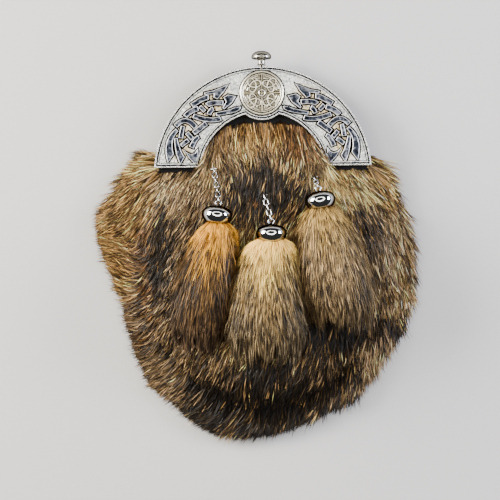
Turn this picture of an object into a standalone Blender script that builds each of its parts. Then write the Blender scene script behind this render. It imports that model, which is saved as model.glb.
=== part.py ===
"""Fur dress sporran: a leather pouch under a fur coat, a cast cantle and three fur tassels on chains.

The pouch lies on its back: +Z is its front, +Y its top, and the origin is on the rest face under the
centre of the cantle's arch. Sizes are in millimetres and are turned to metres where a mesh is made.
Bearings are degrees clockwise from the top, about the middle of the belly.
"""

import math
import random

import bmesh
import bpy
from mathutils import Matrix, Vector

MM = 0.001
GAP = 0.35  # clearance between pieces that touch

# Heights, from the rest face up
BACK_THICKNESS = 2.2
BACK_PROUD = 1.0  # how far the back panel stands out past the front wall
WALL = 1.6
MOUTH_GAP = 8.5
UNDER_CANTLE = BACK_THICKNESS + MOUTH_GAP + WALL  # outer face of the front wall behind the cantle
BACKING = 2.0
CANTLE_PLATE = 2.0
CANTLE_RIM = 0.9
BACKING_BOTTOM = UNDER_CANTLE + GAP
CANTLE_BOTTOM = BACKING_BOTTOM + BACKING + GAP
CANTLE_FIELD = CANTLE_BOTTOM + CANTLE_PLATE
CANTLE_TOP = CANTLE_FIELD + CANTLE_RIM
KNOT_TOP = CANTLE_FIELD + 0.8
KNOT_ROOT = CANTLE_FIELD - 0.4

# Cantle, about the origin
CANTLE_RADIUS = 75.7
ARCH_RADIUS = 43.8
FOOT_LINE = 6.6  # lower edge of the two feet
RIM_WIDTH = 2.2
EDGE_WIDTH = 1.7
MEDALLION_Y = 57.1
MEDALLION_RADIUS = 15.4
BULGE_RADIUS = 19.0  # the lobe of metal that carries the medallion into the arch
ARC_STEPS = 28
BORDER = 3.4  # leather that shows inside the arch and below the feet
PINK_PITCH = 3.4
PINK_DEPTH = 0.9

# Pouch
BODY_CENTRE = Vector((0.0, -76.4))
BELLY_HEIGHT = 29.0
HEM_HEIGHT = 3.4
POUCH_TOP_RADIUS = 71.0
ARCH_LEATHER = ARCH_RADIUS - BORDER
INSIDE_ARCH = ARCH_LEATHER - PINK_DEPTH - GAP
SHOULDER = 42.0  # bearing at which the mouth ends, either side
MOUTH_COLUMNS = (0, 9, 18, 27, 35, 42)  # bearings either side, to the shoulder
SIDE_COLUMNS = 15
SIDE_RINGS = (0.32, 0.58, 0.78, 0.90, 0.967, 1.0)
TOP_RINGS = (0.32, 0.60, 0.82, 1.0)
LEATHER_REACH = (  # bearing either side, distance of the leather's edge from the middle
    (0, 116),
    (20, 112),
    (42, 103),
    (50, 97),
    (60, 94),
    (80, 91),
    (100, 88),
    (130, 84),
    (155, 86),
    (180, 89),
)

# Fur coat
PELT = 4.0
LOCK_LENGTH = 44.0
LOCK_WIDTH = 13.0
LOCK_HEIGHT = 5.0
LOCK_PITCH = 30.0
FAN = 170.0  # degrees over which the rows of locks spread
HEM_SPACING = 26.0
LIE_CLEARANCE = 0.5
PRESSED_LOCK = 0.35  # height left where a tassel lies on the coat
FLOW_SOURCE = Vector((0.0, 52.0))  # the hair fans out from here
LEAST_ROOM = 5.0  # a lock with less than this between it and the cantle is left out
FLOOR_CLEARANCE = 3.0
COAT_REACH = (  # bearing, distance of the hair's tips from the middle
    (40, 119),
    (60, 113),
    (80, 108),
    (100, 103),
    (131, 98),
    (144, 103),
    (162, 100),
    (182, 107),
    (200, 109),
    (218, 105),
    (231, 109),
    (248, 99),
    (261, 100),
    (281, 112),
    (292, 127),
    (311, 128),
    (320, 114),
)

# Strap ears on the back panel
EAR_SIZE = (20.0, 19.0)
EAR_CENTRE = (80.5, -16.0)
EAR_SLOT = (4.8, 13.0)
EAR_SLOT_X = 84.3

# Chains
WIRE = 0.9
LINK_HALF_LENGTH = 2.35
LINK_HALF_WIDTH = 1.45
LINK_PITCH = 2 * LINK_HALF_LENGTH - 0.8 * WIRE
EYE_WIRE = 1.0
EYE_RADIUS = 1.9
EYE_SET = 0.2  # how deep the eye's ring is set into the cap's top
STAPLE_WIDTH = 4.2
STAPLE_HOLE = 3.6
STAPLE_RISE = 11.5
HOLD = (WIRE + EYE_WIRE) / 2 + GAP  # from the wire a link hangs on to the link's own wire

# Caps and tassels
CAP_RADIUS = 10.0
CAP_LENGTH = 11.8
CAP_RECESS = 6.3
TASSELS = {
    # links; the cap's middle and its lean from straight down, in degrees; where the chain starts;
    # the fur's sections: y, middle x, half its width, thickness; and the tips of its locks
    "left": {
        "links": 7,
        "cap": (-31.9, -27.1),
        "lean": 7.0,
        "chain_top": (-33.9, 4.6),
        "rows": (
            (-32, -32.2, 5.3, 10.4),
            (-35, -32.6, 6.0, 11),
            (-41, -33.5, 13.6, 15),
            (-51, -35.0, 16.4, 18),
            (-70, -39.5, 18.2, 19),
            (-88, -42.3, 19.0, 18),
            (-107, -44.3, 16.0, 13),
            (-118, -45.5, 8.0, 7),
        ),
        "tips": ((-59, -118), (-53, -125), (-45, -131), (-37, -126), (-30, -117)),
    },
    "middle": {
        "links": 5,
        "cap": (5.0, -40.4),
        "lean": 0.0,
        "chain_top": (0.2, -14.0),
        "rows": (
            (-45.2, 4.9, 5.3, 10.4),
            (-48, 4.4, 6.0, 11),
            (-52.5, 3.0, 15.2, 15),
            (-58, 2.4, 18.6, 18),
            (-71, 1.6, 20.2, 20),
            (-89, 1.2, 22.0, 20),
            (-111, 0.8, 24.5, 16),
            (-128, 1.0, 16.0, 8),
        ),
        "tips": ((-20, -146), (-10, -139), (1, -135), (12, -144), (20, -136), (27, -128)),
    },
    "right": {
        "links": 3,
        "cap": (38.8, -18.0),
        "lean": -10.0,
        "chain_top": (34.4, -0.9),
        "rows": (
            (-22.7, 39.7, 5.3, 10.4),
            (-25.6, 40.2, 6.0, 11),
            (-32, 41.0, 14.6, 15),
            (-48, 43.6, 20.8, 18),
            (-70, 46.4, 22.8, 18),
            (-90, 49.4, 22.0, 15),
            (-103, 51.4, 18.0, 9),
        ),
        "tips": ((29, -106), (39, -111), (50, -115), (61, -119), (71, -113)),
    },
}

# Knob on top of the cantle
KNOB_FOOT_Y = CANTLE_RADIUS + GAP
KNOB_Z = CANTLE_BOTTOM + 1.5
TONGUE = (2.2, 10.0, 1.5)  # width, length and height of the strip that runs from the knob over the rim
TONGUE_END = 67.7
KNOB_PROFILE = (  # radius, height above the foot
    (0.0, 10.2),
    (3.4, 9.7),
    (6.0, 8.2),
    (7.0, 6.2),
    (6.7, 4.8),
    (5.2, 4.2),
    (3.2, 4.6),
    (2.5, 3.6),
    (2.6, 0.6),
    (3.2, 0.0),
    (0.0, 0.0),
)
CAP_PROFILE = (  # radius, distance below the top
    (0.0, 0.0),
    (5.4, -1.2),
    (8.9, -4.0),
    (CAP_RADIUS, -7.0),
    (9.3, -9.7),
    (7.4, -CAP_LENGTH),
    (CAP_RECESS, -CAP_LENGTH),
    (CAP_RECESS - 0.4, -9.3),
    (0.0, -9.3),
)

# Knotwork, one side: x is the distance from the cantle's middle. Bands run start, middle, end,
# and the last two numbers are the widths at the ends.
KNOT_BANDS = (
    ((48.7, 48.9), (41.8, 53.0), (37.1, 54.4), 2.6, 2.6),
    ((38.1, 48.9), (34.4, 50.4), (27.0, 50.4), 2.6, 2.6),
    ((53.4, 41.3), (50.0, 44.4), (44.4, 46.8), 2.6, 2.6),
    ((43.1, 48.2), (41.4, 46.4), (39.8, 44.7), 2.0, 2.0),
    ((36.9, 42.5), (35.7, 45.0), (33.8, 46.5), 2.4, 2.4),
    ((47.8, 41.8), (37.1, 38.8), (28.9, 39.7), 2.4, 2.6),
    ((32.0, 42.7), (20.2, 45.0), (16.4, 47.5), 1.8, 2.8),
    ((60.2, 34.7), (53.2, 38.5), (46.3, 33.6), 2.4, 2.6),
    ((47.7, 29.7), (43.3, 33.0), (38.9, 36.3), 2.6, 2.6),
    ((59.2, 32.1), (64.7, 23.4), (65.4, 12.4), 1.8, 4.2),
    ((55.1, 34.6), (56.0, 30.7), (56.7, 26.4), 2.0, 2.4),
    ((52.4, 30.0), (50.6, 27.9), (48.7, 25.8), 2.2, 2.2),
    ((56.5, 21.1), (54.1, 23.0), (51.6, 24.9), 2.2, 2.2),
    ((44.3, 27.2), (46.9, 24.7), (49.4, 19.8), 2.0, 2.6),
    ((60.1, 26.4), (58.2, 16.1), (56.4, 11.4), 1.6, 4.2),
)
KNOT_LEAVES = (
    ((40.0, 57.8), (33.6, 59.0), (23.1, 63.3), (26.6, 57.8), (30.8, 53.2), (33.6, 54.3), (33.1, 56.9),
     (39.6, 56.2)),
    ((26.6, 54.2), (23.6, 56.1), (17.9, 54.9), (20.9, 50.2), (26.4, 46.0), (27.4, 47.0), (25.0, 51.0)),
    ((55.0, 18.0), (51.2, 15.2), (46.0, 18.8), (45.7, 14.0), (46.6, 9.9), (50.6, 13.4)),
)


def interpolate(table, key):
    """Smooth value of a table of (key, value) rows, held at its ends."""
    if key <= table[0][0]:
        return table[0][1]
    for (low, first), (high, last) in zip(table, table[1:]):
        if key <= high:
            part = (key - low) / (high - low)
            part = part * part * (3 - 2 * part)
            return first + (last - first) * part
    return table[-1][1]


def bearing_of(x, y):
    return math.degrees(math.atan2(x - BODY_CENTRE.x, y - BODY_CENTRE.y)) % 360


def from_top(bearing):
    return min(bearing, 360 - bearing)


def at_bearing(bearing, distance):
    angle = math.radians(bearing)
    return BODY_CENTRE + distance * Vector((math.sin(angle), math.cos(angle)))


def reach_of_circle(bearing, radius):
    """Distance from the belly's middle to a circle about the origin."""
    angle = math.radians(bearing)
    towards = BODY_CENTRE.dot(Vector((math.sin(angle), math.cos(angle))))
    return -towards + math.sqrt(towards * towards - BODY_CENTRE.length_squared + radius * radius)


def leather_reach(bearing):
    return interpolate(LEATHER_REACH, from_top(bearing))


def coat_reach(bearing):
    return interpolate(COAT_REACH, bearing)


def clear_of_cantle(x, y):
    """How far a point of the plan is from the cantle and its leather, 0 under them."""
    from_middle, foot = math.hypot(x, y), FOOT_LINE - BORDER - PINK_DEPTH
    from_lobe = max(0.0, math.hypot(x, y - MEDALLION_Y) - BULGE_RADIUS - BORDER - PINK_DEPTH)
    if y > foot:
        return min(from_lobe, max(0.0, INSIDE_ARCH - from_middle, from_middle - CANTLE_RADIUS))
    return math.hypot(max(0.0, INSIDE_ARCH - abs(x), abs(x) - CANTLE_RADIUS), foot - y)


def dome(part):
    return max(0.0, 1 - min(part, 1.0) ** 2.6) ** 0.55


def leather_height(x, y):
    """Outer face of the pouch's front wall."""
    bearing = bearing_of(x, y)
    distance = (Vector((x, y)) - BODY_CENTRE).length
    height = HEM_HEIGHT + (BELLY_HEIGHT - HEM_HEIGHT) * dome(distance / leather_reach(bearing))
    height = min(height, UNDER_CANTLE + 1.2 * max(0.0, clear_of_cantle(x, y) - 1.0))
    if from_top(bearing) <= SHOULDER + 1:
        height = max(height, UNDER_CANTLE)
    return height


def pelt_reach(bearing):
    """Where the coat ends above the belly: at the arch, under the feet, or at the hem."""
    if from_top(bearing) > SHOULDER + 1:
        return leather_reach(bearing)
    distance = 0.5 * leather_reach(bearing)
    while clear_of_cantle(*at_bearing(bearing, distance)) > GAP:
        distance += 0.2
    return distance


def tassel_width_at(rows, y):
    return interpolate([(-row[0], row[2]) for row in rows], -y)


def tassel_middle_at(rows, y):
    return interpolate([(-row[0], row[1]) for row in rows], -y)


def pressed(x, y):
    """1 in the middle of where a tassel lies, falling to 0 beside it."""
    most = 0.0
    for tassel in TASSELS.values():
        rows = tassel["rows"]
        top, bottom = rows[0][0] + 13, tassel["tips"][2][1]
        if bottom - 8 < y < top + 6:
            half = max(tassel_width_at(rows, y), 12.0) + 4
            across = abs(x - tassel_middle_at(rows, y)) / half
            most = max(most, 1 - max(0.0, across - 0.75) * 4)
    return max(0.0, most)


# ---- Scene helpers ----


def clear_scene():
    for thing in list(bpy.data.objects):
        bpy.data.objects.remove(thing)
    parts = bpy.data.collections.new("sporran_pouch")
    cutters = bpy.data.collections.new("cutters")
    for collection in (parts, cutters):
        bpy.context.scene.collection.children.link(collection)
    return parts, cutters


PARTS, CUTTERS = clear_scene()


def material(name, colour, roughness, metallic):
    made = bpy.data.materials.new(name)
    made.use_nodes = True
    shader = made.node_tree.nodes["Principled BSDF"]
    shader.inputs["Base Color"].default_value = (*colour, 1)
    shader.inputs["Roughness"].default_value = roughness
    shader.inputs["Metallic"].default_value = metallic
    made.diffuse_color = (*colour, 1)
    return made


def finish_part(part, name, colour, roughness, metallic, smooth_angle=40):
    """Name a part, give it its material and put it in the model's collection."""
    part.name = name
    part.data.name = name
    for collection in list(part.users_collection):
        collection.objects.unlink(part)
    PARTS.objects.link(part)
    part.data.materials.clear()
    part.data.materials.append(material(name, colour, roughness, metallic))
    part.data.shade_smooth()
    part.data.set_sharp_from_angle(angle=math.radians(smooth_angle))
    return part


def object_from(work, name):
    """A hidden working object from a bmesh in millimetres."""
    work.transform(Matrix.Scale(MM, 4))
    mesh = bpy.data.meshes.new(name)
    work.to_mesh(mesh)
    work.free()
    made = bpy.data.objects.new(name, mesh)
    made.hide_render = True
    made.display_type = "WIRE"
    CUTTERS.objects.link(made)
    return made


def show(part):
    part.hide_render = False
    part.display_type = "TEXTURED"
    return part


def baked(source):
    """The evaluated mesh of an object or curve, as a new plain mesh object in its place."""
    bpy.context.view_layer.update()
    depsgraph = bpy.context.evaluated_depsgraph_get()
    mesh = bpy.data.meshes.new_from_object(source.evaluated_get(depsgraph))
    made = bpy.data.objects.new(source.name, mesh)
    made.matrix_world = source.matrix_world
    made.hide_render = True
    made.display_type = "WIRE"
    CUTTERS.objects.link(made)
    bpy.data.objects.remove(source)
    work = bmesh.new()
    work.from_mesh(mesh)
    bmesh.ops.remove_doubles(work, verts=work.verts, dist=1e-6)
    work.to_mesh(mesh)
    work.free()
    return made


def keep_largest_shell(part):
    """Drop sealed bubbles that a union leaves between overlapping locks."""
    work = bmesh.new()
    work.from_mesh(part.data)
    unseen = set(work.verts)
    shells = []
    while unseen:
        shell, edge_of_search = set(), [unseen.pop()]
        while edge_of_search:
            vert = edge_of_search.pop()
            shell.add(vert)
            for edge in vert.link_edges:
                other = edge.other_vert(vert)
                if other in unseen:
                    unseen.discard(other)
                    edge_of_search.append(other)
        shells.append(shell)
    shells.sort(key=len)
    loose = [vert for shell in shells[:-1] for vert in shell]
    bmesh.ops.delete(work, geom=loose, context="VERTS")
    work.to_mesh(part.data)
    work.free()


def combine(base, others, operation):
    """Union or difference of a base with other closed objects, which are used up."""
    operands = bpy.data.collections.new("operands")
    bpy.context.scene.collection.children.link(operands)
    for other in others:
        operands.objects.link(other)
    boolean = base.modifiers.new("combine", "BOOLEAN")
    boolean.operation = operation
    boolean.operand_type = "COLLECTION"
    boolean.collection = operands
    boolean.solver = "EXACT"
    made = baked(base)
    for other in list(operands.objects):
        bpy.data.objects.remove(other)
    bpy.data.collections.remove(operands)
    return made


def flat_piece(name, outlines, bottom, top):
    """A flat plate from closed plan outlines; an outline inside another is a hole."""
    curve = bpy.data.curves.new(name, "CURVE")
    curve.dimensions = "2D"
    curve.fill_mode = "BOTH"
    curve.extrude = (top - bottom) / 2 * MM
    for outline in outlines:
        spline = curve.splines.new("POLY")
        spline.points.add(len(outline) - 1)
        for point, (x, y) in zip(spline.points, outline):
            point.co = (x * MM, y * MM, 0, 1)
        spline.use_cyclic_u = True
    guide = bpy.data.objects.new(name, curve)
    guide.location.z = (top + bottom) / 2 * MM
    CUTTERS.objects.link(guide)
    return baked(guide)


def arc(centre, radius, start, end, count):
    """Points along an arc; angles in degrees, anticlockwise from +X."""
    points = []
    for step in range(count + 1):
        angle = math.radians(start + (end - start) * step / count)
        points.append((centre[0] + radius * math.cos(angle), centre[1] + radius * math.sin(angle)))
    return points


def circle(centre, radius, count):
    return arc(centre, radius, 0, 360 * (count - 1) / count, count - 1)


# ---- Leather ----


def front_columns(for_pelt):
    """Plan points of the front, column by column round the belly."""
    first, last = SHOULDER + 7, 180
    sides = [first + (last - first) * index / (SIDE_COLUMNS - 1) for index in range(SIDE_COLUMNS)]
    half = list(MOUTH_COLUMNS) + sides
    columns = []
    for bearing in half + [360 - bearing for bearing in half[-2:0:-1]]:
        if from_top(bearing) > SHOULDER + 1:
            reach = leather_reach(bearing)
            distances = [part * reach for part in SIDE_RINGS]
        else:
            inner, outer = pelt_reach(bearing), reach_of_circle(bearing, POUCH_TOP_RADIUS)
            distances = [part * inner for part in TOP_RINGS]
            if not for_pelt:
                distances += [(inner + outer) / 2, outer]
        columns.append([at_bearing(bearing, distance) for distance in distances])
    return columns


def front_surface(for_pelt):
    """The front wall's outer face as an open, triangulated bmesh in millimetres."""
    work = bmesh.new()
    crown = work.verts.new((*BODY_CENTRE, leather_height(*BODY_CENTRE)))
    rows = []
    for column in front_columns(for_pelt):
        rows.append([work.verts.new((x, y, leather_height(x, y))) for x, y in column])
    for this, following in zip(rows, rows[1:] + rows[:1]):
        work.faces.new((crown, following[0], this[0]))
        for ring in range(min(len(this), len(following)) - 1):
            a, b, c, d = this[ring], following[ring], following[ring + 1], this[ring + 1]
            work.faces.new((a, b, c))
            work.faces.new((a, c, d))
    work.normal_update()
    return work


def make_pouch():
    shell = object_from(front_surface(for_pelt=False), "pouch_shell")
    wall = shell.modifiers.new("wall", "SOLIDIFY")
    wall.thickness = WALL * MM
    wall.offset = -1
    shell = baked(shell)
    lift_to(shell, BACK_THICKNESS + GAP)
    return finish_part(show(shell), "pouch_shell", (0.05, 0.035, 0.025), 0.7, 0)


def lift_to(part, height):
    """Flatten what would sink below a height."""
    for vert in part.data.vertices:
        vert.co.z = max(vert.co.z, height * MM)


def back_outline():
    """The panel stands out a little past the front wall all round."""
    points = []
    for step in range(-7, 8):
        bearing = step * SHOULDER / 7
        points.append(at_bearing(bearing, reach_of_circle(bearing, POUCH_TOP_RADIUS + BACK_PROUD)))
    for step in range(34):
        bearing = SHOULDER + 6 + step * (360 - 2 * SHOULDER - 12) / 33
        points.append(at_bearing(bearing, leather_reach(bearing) + BACK_PROUD))
    return [tuple(point) for point in points]


def rectangle(centre, size):
    (x, y), (width, depth) = centre, (size[0] / 2, size[1] / 2)
    return [(x - width, y - depth), (x + width, y - depth), (x + width, y + depth), (x - width, y + depth)]


def make_back():
    panel = flat_piece("back_panel", [back_outline()], 0, BACK_THICKNESS)
    ears, slots = [], []
    for side in (-1, 1):
        ear = rectangle((side * EAR_CENTRE[0], EAR_CENTRE[1]), EAR_SIZE)
        slot = rectangle((side * EAR_SLOT_X, EAR_CENTRE[1]), EAR_SLOT)
        ears.append(flat_piece("ear", [ear], 0, BACK_THICKNESS))
        slots.append(flat_piece("slot", [slot], -1, BACK_THICKNESS + 1))
    panel = combine(panel, ears, "UNION")
    panel = combine(panel, slots, "DIFFERENCE")
    return finish_part(show(panel), "back_panel", (0.02, 0.018, 0.016), 0.6, 0)


# ---- Cantle ----


def lobe_meets_arch(arch, lobe):
    """Where the medallion's lobe crosses the arch, to the right of the middle."""
    y = (arch * arch - lobe * lobe + MEDALLION_Y * MEDALLION_Y) / (2 * MEDALLION_Y)
    return math.sqrt(arch * arch - y * y), y


def cantle_outline(inset, inner_inset, foot_inset):
    """Half-moon outline, drawn in from the edge by three insets."""
    outer, arch = CANTLE_RADIUS - inset, ARCH_RADIUS + inner_inset
    lobe, foot = BULGE_RADIUS - inner_inset, FOOT_LINE + foot_inset
    foot_outer = math.degrees(math.asin(foot / outer))
    foot_inner = math.degrees(math.asin(foot / arch))
    cusp = lobe_meets_arch(arch, lobe)
    cusp_arch = math.degrees(math.atan2(cusp[1], cusp[0]))
    cusp_lobe = math.degrees(math.atan2(cusp[1] - MEDALLION_Y, cusp[0]))
    points = arc((0, 0), outer, foot_outer, 180 - foot_outer, ARC_STEPS)
    points += arc((0, 0), arch, 180 - foot_inner, 180 - cusp_arch, ARC_STEPS // 4)
    points += arc((0, MEDALLION_Y), lobe, -180 - cusp_lobe, cusp_lobe, ARC_STEPS // 5)[1:-1]
    points += arc((0, 0), arch, cusp_arch, foot_inner, ARC_STEPS // 4)
    return points


def pinked(points, pitch, depth):
    """Zigzag an outline outwards, as pinking shears leave it."""
    closed = [Vector(point) for point in points]
    closed.append(closed[0])
    teeth = []
    for start, end in zip(closed, closed[1:]):
        run = end - start
        count = max(1, round(run.length / pitch))
        out = Vector((run.y, -run.x)).normalized() * depth
        for step in range(count):
            teeth.append(start + run * step / count)
            teeth.append(start + run * (step + 0.5) / count + out)
    return [tuple(point) for point in teeth]


def make_backing():
    outer = CANTLE_RADIUS - 1.2
    inner = ARCH_LEATHER
    lobe = BULGE_RADIUS + BORDER
    foot = FOOT_LINE - BORDER
    start, end = (math.degrees(math.asin(foot / radius)) for radius in (outer, inner))
    cusp = lobe_meets_arch(inner, lobe)
    cusp_arch = math.degrees(math.atan2(cusp[1], cusp[0]))
    cusp_lobe = math.degrees(math.atan2(cusp[1] - MEDALLION_Y, cusp[0]))
    top = arc((0, 0), outer, start, 180 - start, 24)
    arch = arc((0, 0), inner, 180 - end, 180 - cusp_arch, 6)
    arch += arc((0, MEDALLION_Y), lobe, -180 - cusp_lobe, cusp_lobe, 5)[1:-1]
    arch += arc((0, 0), inner, cusp_arch, end, 6)
    edge = [top[-1]] + arch + [top[0]]
    run = pinked(edge, PINK_PITCH, PINK_DEPTH)
    closing = 2 * max(1, round((Vector(edge[-1]) - Vector(edge[0])).length / PINK_PITCH))
    outline = top[:-1] + run[: len(run) - closing]
    backing = flat_piece("cantle_backing", [outline], BACKING_BOTTOM, BACKING_BOTTOM + BACKING)
    return finish_part(show(backing), "cantle_backing", (0.012, 0.012, 0.014), 0.55, 0)


def arc_through(start, middle, end, count):
    """Points on the circle through three points, or on a line where they are in line."""
    (ax, ay), (bx, by), (cx, cy) = start, middle, end
    area = 2 * (ax * (by - cy) + bx * (cy - ay) + cx * (ay - by))
    if abs(area) < 1.0:
        return [Vector(start).lerp(Vector(end), step / count) for step in range(count + 1)]
    a2, b2, c2 = ax * ax + ay * ay, bx * bx + by * by, cx * cx + cy * cy
    centre = Vector(
        (
            (a2 * (by - cy) + b2 * (cy - ay) + c2 * (ay - by)) / area,
            (a2 * (cx - bx) + b2 * (ax - cx) + c2 * (bx - ax)) / area,
        )
    )
    first, last = Vector(start) - centre, Vector(end) - centre
    turn = first.angle_signed(last)
    return [centre + Matrix.Rotation(-turn * step / count, 2) @ first for step in range(count + 1)]


def band_outline(start, middle, end, start_width, end_width):
    """A strip along an arc, its width changing evenly."""
    chord_middle = (Vector(start) + Vector(end)) / 2
    count = 3 if (Vector(middle) - chord_middle).length > 1.2 else 1
    path = arc_through(start, middle, end, count)
    left, right = [], []
    for index, point in enumerate(path):
        ahead = path[min(index + 1, count)] - path[max(index - 1, 0)]
        side = Vector((-ahead.y, ahead.x)).normalized()
        half = (start_width + (end_width - start_width) * index / count) / 2
        left.append(tuple(point + side * half))
        right.append(tuple(point - side * half))
    return left + right[::-1]


def knot_outlines():
    outlines = [band_outline(*row) for row in KNOT_BANDS] + [list(leaf) for leaf in KNOT_LEAVES]
    mirrored = [[(-x, y) for x, y in outline] for outline in outlines]
    return outlines + mirrored


def medallion_outlines():
    """Two rings, a cross and a ring in each quarter."""
    centre = (0, MEDALLION_Y)
    outlines = [circle(centre, MEDALLION_RADIUS, 20), circle(centre, MEDALLION_RADIUS - 1.3, 20)]
    arm, half = 12.0, 0.55
    cross = [(half, half), (arm, half), (arm, -half), (half, -half)]
    for _ in range(3):
        cross += [(y, -x) for x, y in cross[-4:]]
    outlines.append([(x, y + MEDALLION_Y) for x, y in cross])
    for across in (-1, 1):
        for up in (-1, 1):
            loop = (across * 4.9, MEDALLION_Y + up * 4.9)
            outlines += [circle(loop, 3.6, 8), circle(loop, 2.4, 8)]
    return outlines


def make_cantle():
    cantle = flat_piece("cantle", [cantle_outline(0, 0, 0)], CANTLE_BOTTOM, CANTLE_TOP)
    field_outline = cantle_outline(RIM_WIDTH, EDGE_WIDTH, EDGE_WIDTH)
    field = flat_piece("field", [field_outline], CANTLE_FIELD, CANTLE_TOP + 2)
    cantle = combine(cantle, [field], "DIFFERENCE")
    knots = flat_piece("knots", knot_outlines(), KNOT_ROOT, KNOT_TOP)
    medallion = flat_piece("medallion", medallion_outlines(), KNOT_ROOT, KNOT_TOP)
    cantle = combine(cantle, [knots, medallion], "UNION")
    return finish_part(show(cantle), "cantle", (0.62, 0.62, 0.6), 0.3, 1)


def turned(name, profile, steps):
    """A solid turned round Z from (radius, height) points, outer side first."""
    work = bmesh.new()
    verts = [work.verts.new((radius, 0, height)) for radius, height in profile]
    for first, second in zip(verts, verts[1:]):
        work.edges.new((first, second))
    part = object_from(work, name)
    screw = part.modifiers.new("turn", "SCREW")
    screw.steps = steps
    screw.render_steps = steps
    screw.use_merge_vertices = True
    screw.merge_threshold = 0.00001
    screw.use_normal_calculate = True
    return baked(part)


def place(part, matrix):
    part.data.transform(matrix)
    part.data.update()
    return part


def make_knob():
    knob = turned("clasp_knob", KNOB_PROFILE, 14)
    upright = Matrix.Rotation(math.radians(-90), 4, "X")
    place(knob, Matrix.Translation(Vector((0, KNOB_FOOT_Y, KNOB_Z)) * MM) @ upright)
    work = bmesh.new()
    middle = (0, TONGUE_END + TONGUE[1] / 2, CANTLE_TOP + GAP + TONGUE[2] / 2)
    bmesh.ops.create_cube(work, size=1, matrix=Matrix.Translation(middle) @ Matrix.Diagonal((*TONGUE, 1)))
    knob = combine(knob, [object_from(work, "tongue")], "UNION")
    return finish_part(show(knob), "clasp_knob", (0.6, 0.6, 0.58), 0.15, 1)


# ---- Fur ----


def lock_mesh(path, width, height, underside):
    """A tapered lock of hair along a path of 3-D points, flatter below than above."""
    work = bmesh.new()
    bmesh.ops.create_uvsphere(work, u_segments=4, v_segments=3, radius=1)
    for vert in work.verts:
        along = (1 - vert.co.z) / 2
        place_on = along * (len(path) - 1)
        index = min(int(place_on), len(path) - 2)
        middle = path[index].lerp(path[index + 1], place_on - index)
        ahead = path[index + 1] - path[index]
        side = Vector((-ahead.y, ahead.x, 0)).normalized()
        taper = 1.15 - 0.55 * along
        across = vert.co.x * width * taper
        up = vert.co.y * (height if vert.co.y > 0 else underside) * taper
        vert.co = middle + side * across + Vector((0, 0, up))
    bmesh.ops.recalc_face_normals(work, faces=work.faces)
    return work


def coat_lock(root, tip, rise, width, height):
    """A lock lying on the coat from root to tip; a tip past the leather droops to the floor."""
    path = []
    count = 4
    root_height = leather_height(*root) + PELT
    for step in range(count + 1):
        part = step / count
        spot = root.lerp(tip, part)
        distance = (spot - BODY_CENTRE).length / leather_reach(bearing_of(*spot))
        lie = leather_height(*spot) + PELT + rise * part
        if distance > 0.86:
            end = (tip - BODY_CENTRE).length - leather_reach(bearing_of(*tip))
            droop = root_height + (4.5 - root_height) * part ** 1.25
            lie = max(lie, droop) if end > 3 else lie
        path.append(Vector((*spot, lie)))
    flat = 1 - (1 - PRESSED_LOCK) * pressed(*root.lerp(tip, 0.5))
    work = lock_mesh(path, min(width, 0.85 * room_beside(root, tip)), height * flat, 2.4)
    for vert in work.verts:
        vert.co.z = max(vert.co.z, FLOOR_CLEARANCE)
    return object_from(work, "lock")


def room_beside(root, tip):
    """How wide to either side a lock may be before it meets the cantle."""
    return min(clear_of_cantle(*root.lerp(tip, part)) for part in (0.25, 0.5, 0.75)) - GAP


def within_pelt(spot, margin):
    reach = pelt_reach(bearing_of(*spot))
    return (spot - BODY_CENTRE).length < reach - margin


def coat_locks(dice):
    """Rows of locks that fan out from above the arch, each row over the roots of the next."""
    locks = []
    for row in range(7):
        distance = 14.0 + row * LOCK_PITCH
        count = max(3, round(math.radians(FAN) * distance / LOCK_PITCH))
        for index in range(count):
            fan = FAN * ((index + (0.5 if row % 2 else 0.15)) / count - 0.5)
            heading = Vector((math.sin(math.radians(fan)), -math.cos(math.radians(fan))))
            root = FLOW_SOURCE + heading * (distance + dice.uniform(-2, 2))
            tip = root + heading * LOCK_LENGTH * dice.uniform(0.9, 1.1)
            if within_pelt(root, 3.0) and within_pelt(tip, 3.0) and room_beside(root, tip) > LEAST_ROOM:
                locks.append(coat_lock(root, tip, 1.2, LOCK_WIDTH, LOCK_HEIGHT * dice.uniform(0.8, 1.1)))
    return locks


def hem_locks(dice):
    """Two layers of locks that stand out past the leather as a fringe."""
    locks = []
    for layer, (start, short) in enumerate(((0.80, 0.0), (0.955, 4.0))):
        bearing = SHOULDER + 5 + 5 * layer
        while bearing < 360 - SHOULDER - 4:
            reach = coat_reach(bearing)
            tip = at_bearing(bearing, reach - short + dice.uniform(-2, 2))
            outward = (tip - BODY_CENTRE).normalized()
            combed = min(1.0, max(0.0, (from_top(bearing) - 55) / 40))
            heading = outward.lerp((tip - FLOW_SOURCE).normalized(), 0.5 * combed).normalized()
            root = tip - heading * (reach - start * leather_reach(bearing))
            if room_beside(root, tip) > LEAST_ROOM and not (layer and in_ear(root, tip)):
                height = LOCK_HEIGHT * (0.6 if layer else 0.95)
                locks.append(coat_lock(root, tip, 1.0, LOCK_WIDTH * 0.95, height))
            bearing += math.degrees(HEM_SPACING * (1 + 0.3 * layer) / reach)
    return locks


def in_ear(root, tip):
    """Whether a low lock would lie over a strap ear's slot."""
    middle = root.lerp(tip, 0.5)
    return abs(abs(middle.x) - EAR_SLOT_X) < 12 and abs(middle.y - EAR_CENTRE[1]) < 14


def staple_hole(tassel):
    work = bmesh.new()
    bar = frame_on_chain(tassel)[0]
    place_at = Matrix.Translation((bar.x, bar.y, leather_height(*bar.xy) + 16))
    bmesh.ops.create_cone(
        work,
        cap_ends=True,
        segments=8,
        radius1=STAPLE_HOLE,
        radius2=STAPLE_HOLE,
        depth=40,
        matrix=place_at,
    )
    return object_from(work, "staple_hole")


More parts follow.
